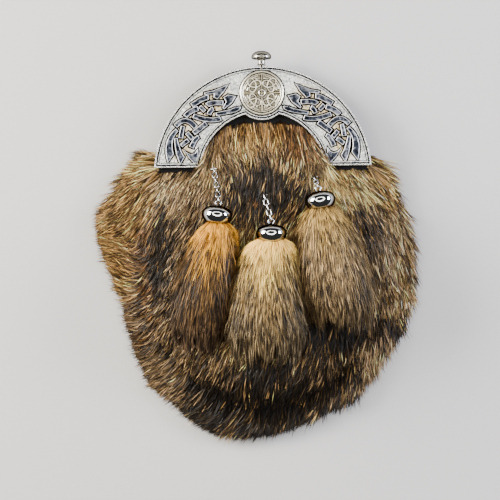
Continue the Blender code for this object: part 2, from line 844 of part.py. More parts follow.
def pelt_mesh():
    """The coat's skin: the front wall's surface, lifted off it and thickened outwards."""
    work = front_surface(for_pelt=True)
    below = list(work.verts)
    outward = {}
    for vert in below:
        upright = 1 - min(1.0, clear_of_cantle(vert.co.x, vert.co.y) / 12)
        way = vert.normal.lerp(Vector((0, 0, 1)), upright).normalized()
        outward[tuple(vert.co)] = way / max(0.5, way.dot(vert.normal))
    grown = bmesh.ops.extrude_face_region(work, geom=work.faces[:], use_keep_orig=True)
    above = [item for item in grown["geom"] if isinstance(item, bmesh.types.BMVert)]
    for verts, lift in ((above, GAP + PELT), (below, GAP)):
        for vert in verts:
            vert.co += outward[tuple(vert.co)] * lift
    bmesh.ops.recalc_face_normals(work, faces=work.faces)
    return work


def make_coat():
    dice = random.Random(7)
    coat = object_from(pelt_mesh(), "fur_pelt")
    lift_to(coat, FLOOR_CLEARANCE)
    coat = combine(coat, coat_locks(dice) + hem_locks(dice), "UNION")
    coat = combine(coat, [staple_hole(tassel) for tassel in TASSELS.values()], "DIFFERENCE")
    keep_largest_shell(coat)
    return finish_part(show(coat), "fur_pelt", (0.33, 0.22, 0.12), 0.9, 0, 25)


# ---- Tassels ----


def rest_height(x, y):
    """Top of the pressed coat, which caps and tassels lie on."""
    return leather_height(x, y) + PELT + LOCK_HEIGHT * PRESSED_LOCK * 1.15 + LIE_CLEARANCE


def frame_on_chain(tassel):
    """The staple's bar, the wire of the cap's eye, the cap's top, and the way the cap points."""
    lean = math.radians(tassel["lean"])
    below = Vector((-math.sin(lean), -math.cos(lean), 0))
    middle = Vector((*tassel["cap"], 0))
    middle.z = rest_height(*middle.xy) + CAP_RADIUS
    top = middle - below * CAP_LENGTH / 2
    eye_wire = top - below * (2 * EYE_RADIUS - EYE_SET)
    start = Vector((*tassel["chain_top"], 0))
    start.z = leather_height(*start.xy) + STAPLE_RISE
    span = (tassel["links"] - 1) * LINK_PITCH + 2 * LINK_HALF_LENGTH - 2 * HOLD
    bar = eye_wire + (start - eye_wire).normalized() * span
    return bar, eye_wire, top, below


def make_chain(side, tassel):
    bar, eye_wire, _, _ = frame_on_chain(tassel)
    run = (eye_wire - bar).normalized()
    across = run.cross(Vector((0, 0, 1))).normalized()
    upright = across.cross(run)
    sets = ([], [])
    for index in range(tassel["links"]):
        centre = bar + run * (LINK_HALF_LENGTH - HOLD + index * LINK_PITCH)
        flat_way = upright if index % 2 == 0 else across
        normal = run.cross(flat_way)
        turn = Matrix((run, flat_way, normal)).transposed().to_4x4()
        sets[index % 2].append(Matrix.Translation(centre) @ turn)
    halves = []
    for matrices in sets:
        work = bmesh.new()
        for matrix in matrices:
            link = link_mesh()
            link.transform(matrix)
            copy = bpy.data.meshes.new("link")
            link.to_mesh(copy)
            link.free()
            work.from_mesh(copy)
            bpy.data.meshes.remove(copy)
        halves.append(object_from(work, "links"))
    chain = combine(halves[0], [halves[1]], "UNION")
    return finish_part(show(chain), "tassel_chain_" + side, (0.7, 0.7, 0.7), 0.2, 1, 60)


def ring_mesh(radius, wire_radius, stretch, around, section):
    """A ring of round wire in the XY plane, pulled out along X."""
    bpy.ops.mesh.primitive_torus_add(
        major_segments=around,
        minor_segments=section,
        major_radius=radius,
        minor_radius=wire_radius,
    )
    torus = bpy.context.object
    work = bmesh.new()
    work.from_mesh(torus.data)
    bpy.data.objects.remove(torus)
    for vert in work.verts:
        vert.co.x += math.copysign(stretch, vert.co.x)
    return work


def link_mesh():
    return ring_mesh(LINK_HALF_WIDTH, WIRE / 2, LINK_HALF_LENGTH - LINK_HALF_WIDTH, 8, 5)


def make_staple(side, tassel):
    """A wire bridge that stands on the leather and holds the chain's first link."""
    bar, eye_wire, _, _ = frame_on_chain(tassel)
    run = (eye_wire - bar).normalized()
    across = run.cross(Vector((0, 0, 1))).normalized() * STAPLE_WIDTH / 2
    curve = bpy.data.curves.new("staple", "CURVE")
    curve.dimensions = "3D"
    curve.bevel_depth = EYE_WIRE / 2 * MM
    curve.bevel_resolution = 1
    curve.use_fill_caps = True
    spline = curve.splines.new("POLY")
    route = []
    for sign in (-1, 1):
        foot = bar + across * sign
        foot.z = leather_height(foot.x, foot.y) + GAP + 1.0
        shoulder = Vector((foot.x, foot.y, bar.z - 0.8))
        corner = bar + across * sign * 0.72
        route += [foot, shoulder, corner] if sign < 0 else [corner, shoulder, foot]
    spline.points.add(len(route) - 1)
    for point, spot in zip(spline.points, route):
        point.co = (*(spot * MM), 1)
    guide = bpy.data.objects.new("staple", curve)
    CUTTERS.objects.link(guide)
    return finish_part(show(baked(guide)), "chain_staple_" + side, (0.6, 0.6, 0.6), 0.3, 1)


def make_cap(side, tassel):
    _, _, top, below = frame_on_chain(tassel)
    cap = turned("cap", CAP_PROFILE, 14)
    axis_x = Vector((below.y, -below.x, 0))
    turn = Matrix((axis_x, below.cross(axis_x), -below)).transposed().to_4x4()
    place(cap, Matrix.Translation(top * MM) @ turn)
    ring = ring_mesh(EYE_RADIUS, EYE_WIRE / 2, 0, 8, 5)
    last_upright = tassel["links"] % 2 == 1
    normal = Vector((0, 0, 1)) if last_upright else axis_x
    turn = Matrix((below, normal.cross(below), normal)).transposed().to_4x4()
    ring.transform(Matrix.Translation(top - below * (EYE_RADIUS - EYE_SET)) @ turn)
    cap = combine(cap, [object_from(ring, "eye")], "UNION")
    return finish_part(show(cap), "tassel_cap_" + side, (0.75, 0.76, 0.78), 0.06, 1, 60)


def tassel_height(rows, x, y):
    thickness = interpolate([(-row[0], row[3]) for row in rows], -y)
    return rest_height(x, max(y, rows[-1][0])) + thickness / 2


TASSEL_COLOUR = {
    "left": (0.5, 0.28, 0.12),
    "middle": (0.6, 0.47, 0.3),
    "right": (0.36, 0.27, 0.18),
}


def make_tassel(side, tassel):
    """A bulb of hair that leaves the cap and ends in separate locks."""
    dice = random.Random(len(side))
    rows = tassel["rows"]
    axis_height = frame_on_chain(tassel)[2].z
    work = bmesh.new()
    bmesh.ops.create_uvsphere(work, u_segments=10, v_segments=len(rows) + 1, radius=1)
    for vert in work.verts:
        ring = round(math.acos(max(-1, min(1, vert.co.z))) / math.pi * (len(rows) + 1)) - 1
        pole = ring < 0 or ring == len(rows)
        y, middle, half, thickness = rows[min(max(ring, 0), len(rows) - 1)]
        height = axis_height if ring < 2 else tassel_height(rows, middle, y)
        round_way = Vector((0, 0)) if pole else Vector((vert.co.x, vert.co.y)).normalized()
        end = 0 if not pole else (0.2 if ring < 0 else -5)
        vert.co = (middle + round_way.x * half, y + end, height + round_way.y * thickness / 2)
    bmesh.ops.recalc_face_normals(work, faces=work.faces)
    bulb = object_from(work, "bulb")
    locks = []
    for index, (x, y) in enumerate(tassel["tips"]):
        for layer in (0, 1):
            shift = (index + 0.5 * layer) / len(tassel["tips"]) - 0.42
            start_y = rows[-3][0] + dice.uniform(-5, 5) + 14 * layer
            half = tassel_width_at(rows, start_y)
            start = Vector((tassel_middle_at(rows, start_y) + shift * 1.5 * half, start_y))
            end = Vector((x + 3.0 * layer, y + 5.0 * layer))
            path = []
            for step in range(4):
                spot = start.lerp(end, step / 3)
                lift = (3.6 if layer else 0.6) * (1 - step / 3)
                path.append(Vector((*spot, tassel_height(rows, *spot) + lift)))
            locks.append(object_from(lock_mesh(path, 5.2, 4.4, 2.6), "lock"))
    fur = combine(bulb, locks, "UNION")
    keep_largest_shell(fur)
    return finish_part(show(fur), "tassel_fur_" + side, TASSEL_COLOUR[side], 0.9, 0, 25)


def main():
    make_back()
    make_pouch()
    make_coat()
    make_backing()
    make_cantle()
    make_knob()
    for side, tassel in TASSELS.items():
        make_staple(side, tassel)
        make_chain(side, tassel)
        make_cap(side, tassel)
        make_tassel(side, tassel)


main()
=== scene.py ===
import math

import bpy
import numpy as np
from mathutils import Matrix, Vector
from mathutils.bvhtree import BVHTree


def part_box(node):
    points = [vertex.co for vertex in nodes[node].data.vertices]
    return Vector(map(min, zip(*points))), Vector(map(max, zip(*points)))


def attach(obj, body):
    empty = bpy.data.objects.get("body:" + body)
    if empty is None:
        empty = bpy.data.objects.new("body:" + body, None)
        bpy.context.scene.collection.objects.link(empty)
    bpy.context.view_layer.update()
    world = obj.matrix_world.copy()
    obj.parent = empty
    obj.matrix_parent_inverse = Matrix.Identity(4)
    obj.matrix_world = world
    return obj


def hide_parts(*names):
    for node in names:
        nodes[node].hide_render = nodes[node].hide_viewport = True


# Fur sporran lying face up: a cast cantle with knotwork over a deep agouti coat, three tassels on chains.
# Places are in millimetres in the part's own frame (+Z out of the front, +Y to the top) until a mesh is made.

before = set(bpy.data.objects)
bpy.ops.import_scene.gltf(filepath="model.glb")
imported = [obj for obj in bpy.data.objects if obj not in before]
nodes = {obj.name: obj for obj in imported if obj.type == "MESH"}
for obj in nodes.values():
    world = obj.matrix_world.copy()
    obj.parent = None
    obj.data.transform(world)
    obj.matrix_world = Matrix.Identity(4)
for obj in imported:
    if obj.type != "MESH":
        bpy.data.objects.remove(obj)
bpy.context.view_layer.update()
bpy.ops.object.select_all(action="DESELECT")
print("stage: frame loaded,", len(nodes), "CAD nodes")

mm = 0.001


def linearColour(hexText):
    channels = [int(hexText[i:i + 2], 16) / 255 for i in (1, 3, 5)]
    return [c / 12.92 if c <= 0.04045 else ((c + 0.055) / 1.055) ** 2.4 for c in channels]


def rgba(hexText):
    return (*linearColour(hexText), 1.0)


def plug(node, inputs):
    # an input takes another node's output, a hex colour or a plain value
    for key, value in inputs.items():
        if isinstance(value, bpy.types.NodeSocket):
            node.id_data.links.new(value, node.inputs[key])
        else:
            node.inputs[key].default_value = rgba(value) if isinstance(value, str) else value


def addNode(tree, kind, inputs=None, out=0, stops=(), **settings):
    # a shader node with its inputs, settings and colour stops; gives back the output that is asked for
    node = tree.nodes.new("ShaderNode" + kind)
    for key, value in settings.items():
        setattr(node, key, value)
    plug(node, inputs or {})
    if stops:
        elements = node.color_ramp.elements
        while len(elements) < len(stops):
            elements.new(0.5)
        for element, (place, hexText) in zip(elements, stops):
            element.position = place
            element.color = rgba(hexText)
    return node.outputs[out]


def newMaterial(name, inputs):
    made = bpy.data.materials.new(name)
    made.use_nodes = True
    shader = made.node_tree.nodes["Principled BSDF"]
    plug(shader, inputs)
    return made, made.node_tree, shader


def wear(piece, material):
    piece.data.materials.clear()
    piece.data.materials.append(material)


def finishPiece(piece, name, material, replaced):
    piece.name = name
    piece.data.name = name
    wear(piece, material)
    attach(piece, "root")
    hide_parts(replaced)


def activate(piece):
    bpy.ops.object.select_all(action="DESELECT")
    piece.select_set(True)
    bpy.context.view_layer.objects.active = piece


def editPiece(piece):
    activate(piece)
    bpy.ops.object.mode_set(mode="EDIT")
    bpy.ops.mesh.select_all(action="SELECT")


def applyAll(piece):
    activate(piece)
    for modifier in list(piece.modifiers):
        bpy.ops.object.modifier_apply(modifier=modifier.name)
    bpy.ops.object.transform_apply()


def joinPieces(parts):
    activate(parts[0])
    for part in parts[1:]:
        part.select_set(True)
    bpy.ops.object.join()
    return parts[0]


def fixNormals(piece):
    editPiece(piece)
    bpy.ops.mesh.remove_doubles(threshold=0.01 * mm)
    bpy.ops.mesh.normals_make_consistent(inside=False)
    bpy.ops.object.mode_set(mode="OBJECT")


def smoothByAngle(piece, degrees):
    activate(piece)
    bpy.ops.object.shade_smooth_by_angle(angle=math.radians(degrees))


def smoothStep(value, low, high):
    part = np.clip((value - low) / (high - low), 0, 1)
    return part * part * (3 - 2 * part)


view = {
    "axis": (-9.75, -51.92),  # the point of the floor under the lens
    "height": 2000.0,
    "span": 350.0,  # millimetres of floor across the picture
    "turn": 0.8,  # degrees
    "sensor": 36.0,
}


def makeCamera():
    lens = bpy.data.cameras.new("camera")
    lens.sensor_width = view["sensor"]
    lens.lens = view["sensor"] * view["height"] / view["span"]
    lens.clip_end = 10
    camera = bpy.data.objects.new("camera", lens)
    bpy.context.scene.collection.objects.link(camera)
    camera.location = Vector((*view["axis"], view["height"])) * mm
    camera.rotation_euler = (0, 0, -math.radians(view["turn"]))
    bpy.context.scene.camera = camera


studio = {
    "floor": ("#bab9b8", 0.9, 6.0),  # colour, roughness and width in metres
    "world": ("#8f8d8a", 0.19),
    "target": (0, -50, 20),  # what the softboxes are aimed at
    "softboxes": (  # place, size, watts, colour
        ((-1100, 300, 520), (850, 520), 67, "#fffaf2"),
        ((1100, 200, 500), (620, 360), 34, "#e4ecff"),
    ),
    "ring": (580, 410, 800),  # outer and inner radius and height of the lamp round the lens
    "ringShift": 300,  # from the lens towards the top of the pouch
    "ringGlow": ("#fff8ee", 8.9),
}


def makeFloor():
    colour, roughness, width = studio["floor"]
    bpy.ops.mesh.primitive_plane_add(size=width, location=(0, studio["target"][1] * mm, 0))
    floor = bpy.context.object
    floor.name = "floor"
    wear(floor, newMaterial("studio paper", {"Base Color": colour, "Roughness": roughness})[0])


def makeSoftboxes():
    target = Vector(studio["target"]) * mm
    for index, (place, size, power, hexText) in enumerate(studio["softboxes"]):
        light = bpy.data.lights.new("softbox" + str(index), "AREA")
        light.shape = "RECTANGLE"
        light.size, light.size_y = size[0] * mm, size[1] * mm
        light.energy = power
        light.color = linearColour(hexText)
        lamp = bpy.data.objects.new(light.name, light)
        lamp.location = Vector(place) * mm
        lamp.rotation_euler = (target - lamp.location).to_track_quat("-Z", "Y").to_euler()
        bpy.context.scene.collection.objects.link(lamp)


def makeRingLamp():
    # a ring lamp round the lens, which the domed caps mirror
    outer, inner, height = studio["ring"]
    bpy.ops.mesh.primitive_circle_add(vertices=96, radius=outer * mm, fill_type="NGON")
    ring = bpy.context.object
    bpy.ops.object.mode_set(mode="EDIT")
    bpy.ops.mesh.inset(thickness=(outer - inner) * mm)
    bpy.ops.mesh.delete(type="FACE")
    bpy.ops.object.mode_set(mode="OBJECT")
    ring.name = "ring_lamp"
    ring.location = Vector((view["axis"][0], view["axis"][1] + studio["ringShift"], height)) * mm
    colour, strength = studio["ringGlow"]
    glow, tree, shader = newMaterial("ring lamp glow", {})
    tree.nodes.remove(shader)
    emission = addNode(tree, "Emission", {"Color": colour, "Strength": strength})
    plug(tree.nodes["Material Output"], {"Surface": emission})
    wear(ring, glow)
    ring.visible_camera = False
    ring.visible_shadow = False


def makeStudio():
    makeFloor()
    world = bpy.data.worlds.new("studio")
    world.use_nodes = True
    colour, strength = studio["world"]
    plug(world.node_tree.nodes["Background"], {"Color": colour, "Strength": strength})
    bpy.context.scene.world = world
    makeSoftboxes()
    makeRingLamp()


makeCamera()
makeStudio()
print("stage: camera, lights and floor")

cantle = {
    "field": 17.0,  # height of the stippled ground
    "radius": 75.7,
    "arch": 43.8,
    "foot": 5.9,
    "lobe": (57.1, 19.0),  # the lobe that carries the medallion: its middle and radius
    "steps": (156, 40, 26),  # points along the outer edge, each side of the arch and the lobe
    "edge": (  # distance in from the outer edge, and height, from the underside up to the field
        (0, 15.0), (0, 17.4), (0.3, 17.85), (1.1, 17.85), (1.22, 16.7), (2.1, 16.7), (2.2, 17.3),
        (2.8, 17.3), (2.95, 16.88), (3.3, 16.88), (3.4, 17.0),
    ),
    "soft": 25,  # degrees up to which an edge is shaded smooth
    "warm": (  # where the plate has worn to a warmer white: middle, half size, and its turn in degrees
        ((0, 57.1), (17, 17), 0), ((37, 48), (21, 12), -38), ((54.5, 25), (10, 19), 18),
    ),
}


def arcPoints(centre, radius, start, end, count):
    angles = [math.radians(start + (end - start) * k / count) for k in range(count + 1)]
    return [(centre[0] + radius * math.cos(a), centre[1] + radius * math.sin(a)) for a in angles]


def cantleOutline(inward):
    # the half-moon, drawn in all round
    outer, arch, foot = cantle["radius"] - inward, cantle["arch"] + inward, cantle["foot"] + inward
    middle, lobe = cantle["lobe"][0], cantle["lobe"][1] - inward
    along, side, front = cantle["steps"]
    footOuter, footInner = (math.degrees(math.asin(foot / r)) for r in (outer, arch))
    y = (arch * arch - lobe * lobe + middle * middle) / (2 * middle)
    x = math.sqrt(arch * arch - y * y)
    cuspArch = math.degrees(math.atan2(y, x))
    cuspLobe = math.degrees(math.atan2(y - middle, x))
    points = arcPoints((0, 0), outer, footOuter, 180 - footOuter, along)
    points += arcPoints((0, 0), arch, 180 - footInner, 180 - cuspArch, side)
    points += arcPoints((0, middle), lobe, -180 - cuspLobe, cuspLobe, front)[1:-1]
    points += arcPoints((0, 0), arch, cuspArch, footInner, side)
    return points


def refillFace(piece, index):
    # fill a wide, many-sided face afresh with triangles
    bpy.ops.object.mode_set(mode="EDIT")
    bpy.ops.mesh.select_mode(type="FACE")
    bpy.ops.mesh.select_all(action="DESELECT")
    bpy.ops.object.mode_set(mode="OBJECT")
    piece.data.polygons[index].select = True
    bpy.ops.object.mode_set(mode="EDIT")
    bpy.ops.mesh.delete(type="ONLY_FACE")
    bpy.ops.mesh.select_mode(type="EDGE")
    bpy.ops.mesh.select_non_manifold()
    bpy.ops.mesh.fill()
    bpy.ops.mesh.select_mode(type="VERT")
    bpy.ops.object.mode_set(mode="OBJECT")


def raisePiece(rows):
    # a solid extruded through rows of an outline, each of as many points, and its height
    outline, height = rows[0]
    bpy.ops.mesh.primitive_circle_add(vertices=len(outline), radius=0.1, fill_type="NGON")
    piece = bpy.context.object
    verts = piece.data.vertices
    for vert, spot in zip(verts, outline):
        vert.co = Vector((*spot, height)) * mm
    editPiece(piece)
    for (outline, _), (wanted, height) in zip(rows, rows[1:]):
        bpy.ops.mesh.extrude_region_move()
        bpy.ops.object.mode_set(mode="OBJECT")
        verts = piece.data.vertices
        top = next(face for face in piece.data.polygons if face.select)
        places = np.array([verts[index].co[:2] for index in top.vertices]) / mm
        nearest = np.abs(places[:, None] - np.array(outline)[None]).sum(2).argmin(1)
        for index, spot in zip(top.vertices, nearest):
            verts[index].co = Vector((*wanted[spot], height)) * mm
        bpy.ops.object.mode_set(mode="EDIT")
    bpy.ops.object.mode_set(mode="OBJECT")
    for _ in range(2):  # the top and the underside
        refillFace(piece, next(face.index for face in piece.data.polygons if len(face.vertices) > 4))
    fixNormals(piece)
    return piece


# one side of the knotwork, x from the cantle's middle: start, middle and end of each band, its widths at
# both ends and, on two of them, how far the end is cut on the slant
knotBands = (
    ((48.7, 48.9), (41.8, 53.0), (37.1, 54.4), 2.6, 2.6),
    ((38.1, 48.9), (34.4, 50.4), (27.0, 50.4), 2.6, 2.6),
    ((53.4, 41.3), (50.0, 44.4), (44.4, 46.8), 2.6, 2.6),
    ((43.1, 48.2), (41.4, 46.4), (39.8, 44.7), 2.0, 2.0),
    ((36.9, 42.5), (35.7, 45.0), (33.8, 46.5), 2.4, 2.4),
    ((47.8, 41.8), (37.1, 38.8), (28.9, 39.7), 2.4, 2.6),
    ((32.0, 42.7), (20.2, 45.0), (16.4, 47.5), 1.8, 2.8),
    ((60.2, 34.7), (53.2, 38.5), (46.3, 33.6), 2.4, 2.6),
    ((47.7, 29.7), (43.3, 33.0), (38.9, 36.3), 2.6, 2.6),
    ((59.2, 32.1), (64.5, 23.6), (63.9, 12.2), 1.8, 4.4, 4.4),
    ((55.1, 34.6), (56.0, 30.7), (56.7, 26.4), 2.0, 2.4),
    ((52.4, 30.0), (50.6, 27.9), (48.7, 25.8), 2.2, 2.2),
    ((56.5, 21.1), (54.1, 23.0), (51.6, 24.9), 2.2, 2.2),
    ((44.3, 27.2), (46.9, 24.7), (49.4, 19.8), 2.0, 2.6),
    ((60.1, 26.4), (58.6, 17.6), (55.8, 10.6), 1.6, 4.0, 2.8),
)

# and the leaves between the bands, as outlines
knotLeaves = (
    ((40.0, 57.8), (33.6, 59.0), (23.1, 63.3), (26.6, 57.8),
     (30.8, 53.2), (33.6, 54.3), (33.1, 56.9), (39.6, 56.2)),
    ((26.6, 54.2), (23.6, 56.1), (17.9, 54.9), (20.9, 50.2),
     (26.4, 46.0), (27.4, 47.0), (25.0, 51.0)),
    ((55.0, 18.8), (52.2, 15.9), (49.5, 14.9), (47.0, 15.8),
     (45.0, 18.8), (44.7, 13.5), (46.8, 7.9), (50.9, 12.2)),
)

relief = {
    "rows": (  # distance drawn in, and height: the gutter, a flat dark sheet that is the bands' painted shadow outline, the wall and the crowned top
        (-1.0, 16.8), (-1.0, 17.05), (0, 17.05), (0, 17.45), (0.28, 17.80), (0.55, 17.86),
    ),
    "mitre": 1.9,  # most that a sharp corner is drawn in, as a multiple of the rest
    "broad": 1.26,  # times the bands' widths
    "across": 12,  # steps along a band
}


def drawnIn(outline, distance):
    # a closed outline, anticlockwise, with every side moved inwards
    moved = []
    for before, here, after in zip(outline[-1:] + outline[:-1], outline, outline[1:] + outline[:1]):
        normals = [Vector((-side.y, side.x)).normalized() for side in (here - before, after - here)]
        middle = (normals[0] + normals[1]).normalized()
        stretch = min(relief["mitre"], 1 / max(0.1, middle.dot(normals[0])))
        moved.append(here + middle * distance * stretch)
    return moved


def raiseRelief(outline, side):
    points = [Vector((x * side, y)) for x, y in outline]
    turns = sum(p.cross(q) for p, q in zip(points, points[1:] + points[:1]))
    if turns < 0:
        points.reverse()
    return raisePiece([(drawnIn(points, inward), height) for inward, height in relief["rows"]])


def bandPath(start, middle, end):
    # the curve through the three points
    start, middle, end = Vector(start), Vector(middle), Vector(end)
    bend = middle * 2 - (start + end) / 2
    return lambda t: start * (1 - t) ** 2 + bend * 2 * t * (1 - t) + end * t * t


def makeBand(side, start, middle, end, startWidth, endWidth, slant=0.0):
    path = bandPath(start, middle, end)
    near, far = [], []
    for step in range(relief["across"] + 1):
        t = step / relief["across"]
        ahead = path(t + 0.01) - path(t - 0.01)
        across = Vector((-ahead.y, ahead.x)).normalized()
        half = (startWidth + (endWidth - startWidth) * t) / 2 * relief["broad"]
        cut = ahead.normalized() * slant / 2 * t ** 3
        near.append(path(t) + across * half + cut)
        far.append(path(t) - across * half - cut)
    return raiseRelief(near + far[::-1], side)


medallion = {
    "middle": 57.1,
    "dish": (14.9, 17.04, 0.3),  # radius, height and thickness of the blackened floor
    "rings": ((14.7, 0.62, 17.3), (13.1, 0.3, 17.3), (2.1, 0.42, 17.35)),  # radius, half width, height
    "ringFlat": 0.8,  # their height over their width
    "line": (17.09, 0.06),  # height and flatness of the flat dark lines beside what is raised, painted shadows
    "lines": ((15.62, 0.45), (13.75, 0.4), (2.1, 0.95)),  # radius, half width of the painted shadow rings beside the raised rings
    "arm": 13.1,  # half length of the cross's bars
    "bars": ((0.42, 17.22, 0.3), (0.95, 17.09, 0.06)),  # half width, height, thickness of bar and of the flat dark bed beside it, a painted shadow
    "crossing": 0.8,  # the bars across are thinner, so that no two faces lie in one plane
    "knotSpot": 5.75,
    "knotSize": 1.7296,  # of the curve, which reaches 3 units from its middle
    "knotWire": (0.5, 0.95),  # half width of a strand and of its flat dark line, a painted shadow
    "knotRise": 0.3,  # over the field
    "weave": 0.18,
    "arcs": (  # radius, from, to, half width
        (11.9, 9, 36, 0.5), (11.9, 54, 81, 0.5), (10.2, 8, 24, 0.42), (10.2, 66, 82, 0.42),
    ),
    "arcRise": (0.1, 0.42),  # over the field, of its sides and of its ridge over them
    "arcWall": 0.25,
    "soft": 40,
}


def makeRing(radius, wire, matrix, around=28, stretch=0.0):
    # a torus, pulled out both ways along its own X
    bpy.ops.mesh.primitive_torus_add(
        major_segments=around, minor_segments=10, major_radius=radius * mm, minor_radius=wire * mm)
    ring = bpy.context.object
    for vert in ring.data.vertices:
        vert.co.x += math.copysign(stretch * mm, vert.co.x) if abs(vert.co.x) > 1e-7 else 0
    ring.matrix_world = matrix
    bpy.ops.object.transform_apply()
    bpy.ops.object.shade_smooth()
    return ring


def makeBlock(middle, size, rounding, segments):
    bpy.ops.mesh.primitive_cube_add(size=1, location=Vector(middle) * mm)
    block = bpy.context.object
    block.scale = Vector(size) * mm
    bpy.ops.object.transform_apply()
    bevel = block.modifiers.new("edge", "BEVEL")
    bevel.width = rounding * mm
    bevel.segments = segments
    applyAll(block)
    return block


def makeFlatRing(radius, half, height, flat):
    place = Matrix.Translation(Vector((0, medallion["middle"], height)) * mm)
    return makeRing(radius, half, place @ Matrix.Diagonal((1, 1, flat, 1)), 96)


def makeTrefoil(across, up, lined):
    # a three-lobed interlaced loop, over and under itself, its lobe towards the rim, or the flat dark copy
    # under it that is its painted shadow line
    bpy.ops.mesh.primitive_torus_add(major_segments=72, minor_segments=8, major_radius=10, minor_radius=1)
    knot = bpy.context.object
    wire = medallion["knotWire"][lined]
    outward = math.atan2(up, across) - math.pi / 2
    centre = Vector((across, up)) * medallion["knotSpot"]

    def path(t):
        spot = Vector((math.sin(t) + 2 * math.sin(2 * t), math.cos(t) - 2 * math.cos(2 * t)))
        return Matrix.Rotation(outward + math.pi, 2) @ spot * medallion["knotSize"]

    for vert in knot.data.vertices:
        t = math.atan2(vert.co.y, vert.co.x)
        side = math.hypot(vert.co.x, vert.co.y) - 10
        ahead = path(t + 0.02) - path(t - 0.02)
        normal = Vector((-ahead.y, ahead.x)).normalized()
        spot = centre + path(t) + normal * side * wire
        if lined:
            height = medallion["line"][0] + vert.co.z * medallion["line"][1] / 2
        else:
            weave = math.sin(3 * t) * medallion["weave"]
            height = cantle["field"] + medallion["knotRise"] - weave + vert.co.z * wire * 0.7
        vert.co = Vector((spot.x, spot.y + medallion["middle"], height)) * mm
    return knot


def makeArc(radius, start, end, half, quarter):
    # a rounded strip concentric with the rim
    bpy.ops.mesh.primitive_grid_add(x_subdivisions=14, y_subdivisions=6, size=2)
    strip = bpy.context.object
    sides, ridge = medallion["arcRise"]
    for vert in strip.data.vertices:
        angle = math.radians(start + (end - start) * (vert.co.x + 1) / 2 + 90 * quarter)
        across = radius - half * vert.co.y
        rise = math.sqrt(max(0, 1 - vert.co.y ** 2)) * ridge * min(1, 3 * (1 - abs(vert.co.x)) + 0.25)
        x, y = across * math.cos(angle), across * math.sin(angle) + medallion["middle"]
        vert.co = Vector((x, y, cantle["field"] + sides + rise)) * mm
    editPiece(strip)
    bpy.ops.mesh.select_all(action="DESELECT")
    bpy.ops.mesh.select_non_manifold()
    bpy.ops.mesh.extrude_region_move(TRANSFORM_OT_translate={"value": (0, 0, -medallion["arcWall"] * mm)})
    bpy.ops.mesh.edge_face_add()
    bpy.ops.object.mode_set(mode="OBJECT")
    return strip


def makeDish():
    radius, height, depth = medallion["dish"]
    bpy.ops.mesh.primitive_cylinder_add(
        vertices=96, radius=radius * mm, depth=depth * mm,
        location=(0, medallion["middle"] * mm, (height - depth / 2) * mm))
    bpy.ops.object.transform_apply()
    return bpy.context.object


def makeCross():
    arm, bars = medallion["arm"], []
    for turned in (False, True):
        for half, level, deep in medallion["bars"]:
            size = (half * 2, arm * 2, deep)
            if turned:
                size = (arm * 2, half * 2, deep * medallion["crossing"])
            bars.append(makeBlock((0, medallion["middle"], level), size, deep / 4, 2))
    return bars


def makeMedallion():
    parts = [makeFlatRing(*row, medallion["ringFlat"]) for row in medallion["rings"]]
    parts.append(makeDish())
    parts += [makeArc(*row, quarter) for row in medallion["arcs"] for quarter in range(4)]
    parts += makeCross()
    for across in (-1, 1):
        for up in (-1, 1):
            parts += [makeTrefoil(across, up, lined) for lined in (False, True)]
    # the flat dark lines beside the rings, painted shadows
    parts += [makeFlatRing(radius, half, *medallion["line"]) for radius, half in medallion["lines"]]
    for part in parts:
        fixNormals(part)
        smoothByAngle(part, medallion["soft"])
    return joinPieces(parts)


# what makes a Mix node mix colours, which go into its inputs 6 and 7
inColour = {"out": 2, "data_type": "RGBA"}


def coolWarm(tree, place):
    # 1 inside the knotwork and the medallion, and 0 outside
    across = addNode(tree, "SeparateXYZ", {"Vector": place}, "X")
    mirrored = addNode(tree, "Math", {0: across}, operation="ABSOLUTE")
    folded = addNode(tree, "CombineXYZ", {"X": mirrored, "Y": across.node.outputs["Y"]})
    total = 0.0
    for middle, size, turn in cantle["warm"]:
        moved = addNode(tree, "Mapping", {
            "Vector": folded,
            "Location": (middle[0] * mm, middle[1] * mm, 0),
            "Rotation": (0, 0, math.radians(turn)),
            "Scale": (size[0] * mm, size[1] * mm, 1),
        }, vector_type="TEXTURE")
        ball = addNode(tree, "TexGradient", {"Vector": moved}, "Fac", gradient_type="SPHERICAL")
        total = addNode(tree, "Math", {0: total, 1: ball}, operation="MAXIMUM")
    return addNode(tree, "MapRange", {"Value": total, "From Max": 0.45})


def byHeight(tree, place, low, high):
    # 0 below the first height and 1 above the second
    height = addNode(tree, "SeparateXYZ", {"Vector": place}, "Z")
    return addNode(tree, "MapRange", {"Value": height, "From Min": low * mm, "From Max": high * mm})


def openness(tree, distance, low, high):
    # 0 deep in a crevice and 1 where the surface lies open
    reached = addNode(tree, "AmbientOcclusion", {"Distance": distance * mm}, "AO", samples=8)
    return addNode(tree, "MapRange", {"Value": reached, "From Min": low, "From Max": high})


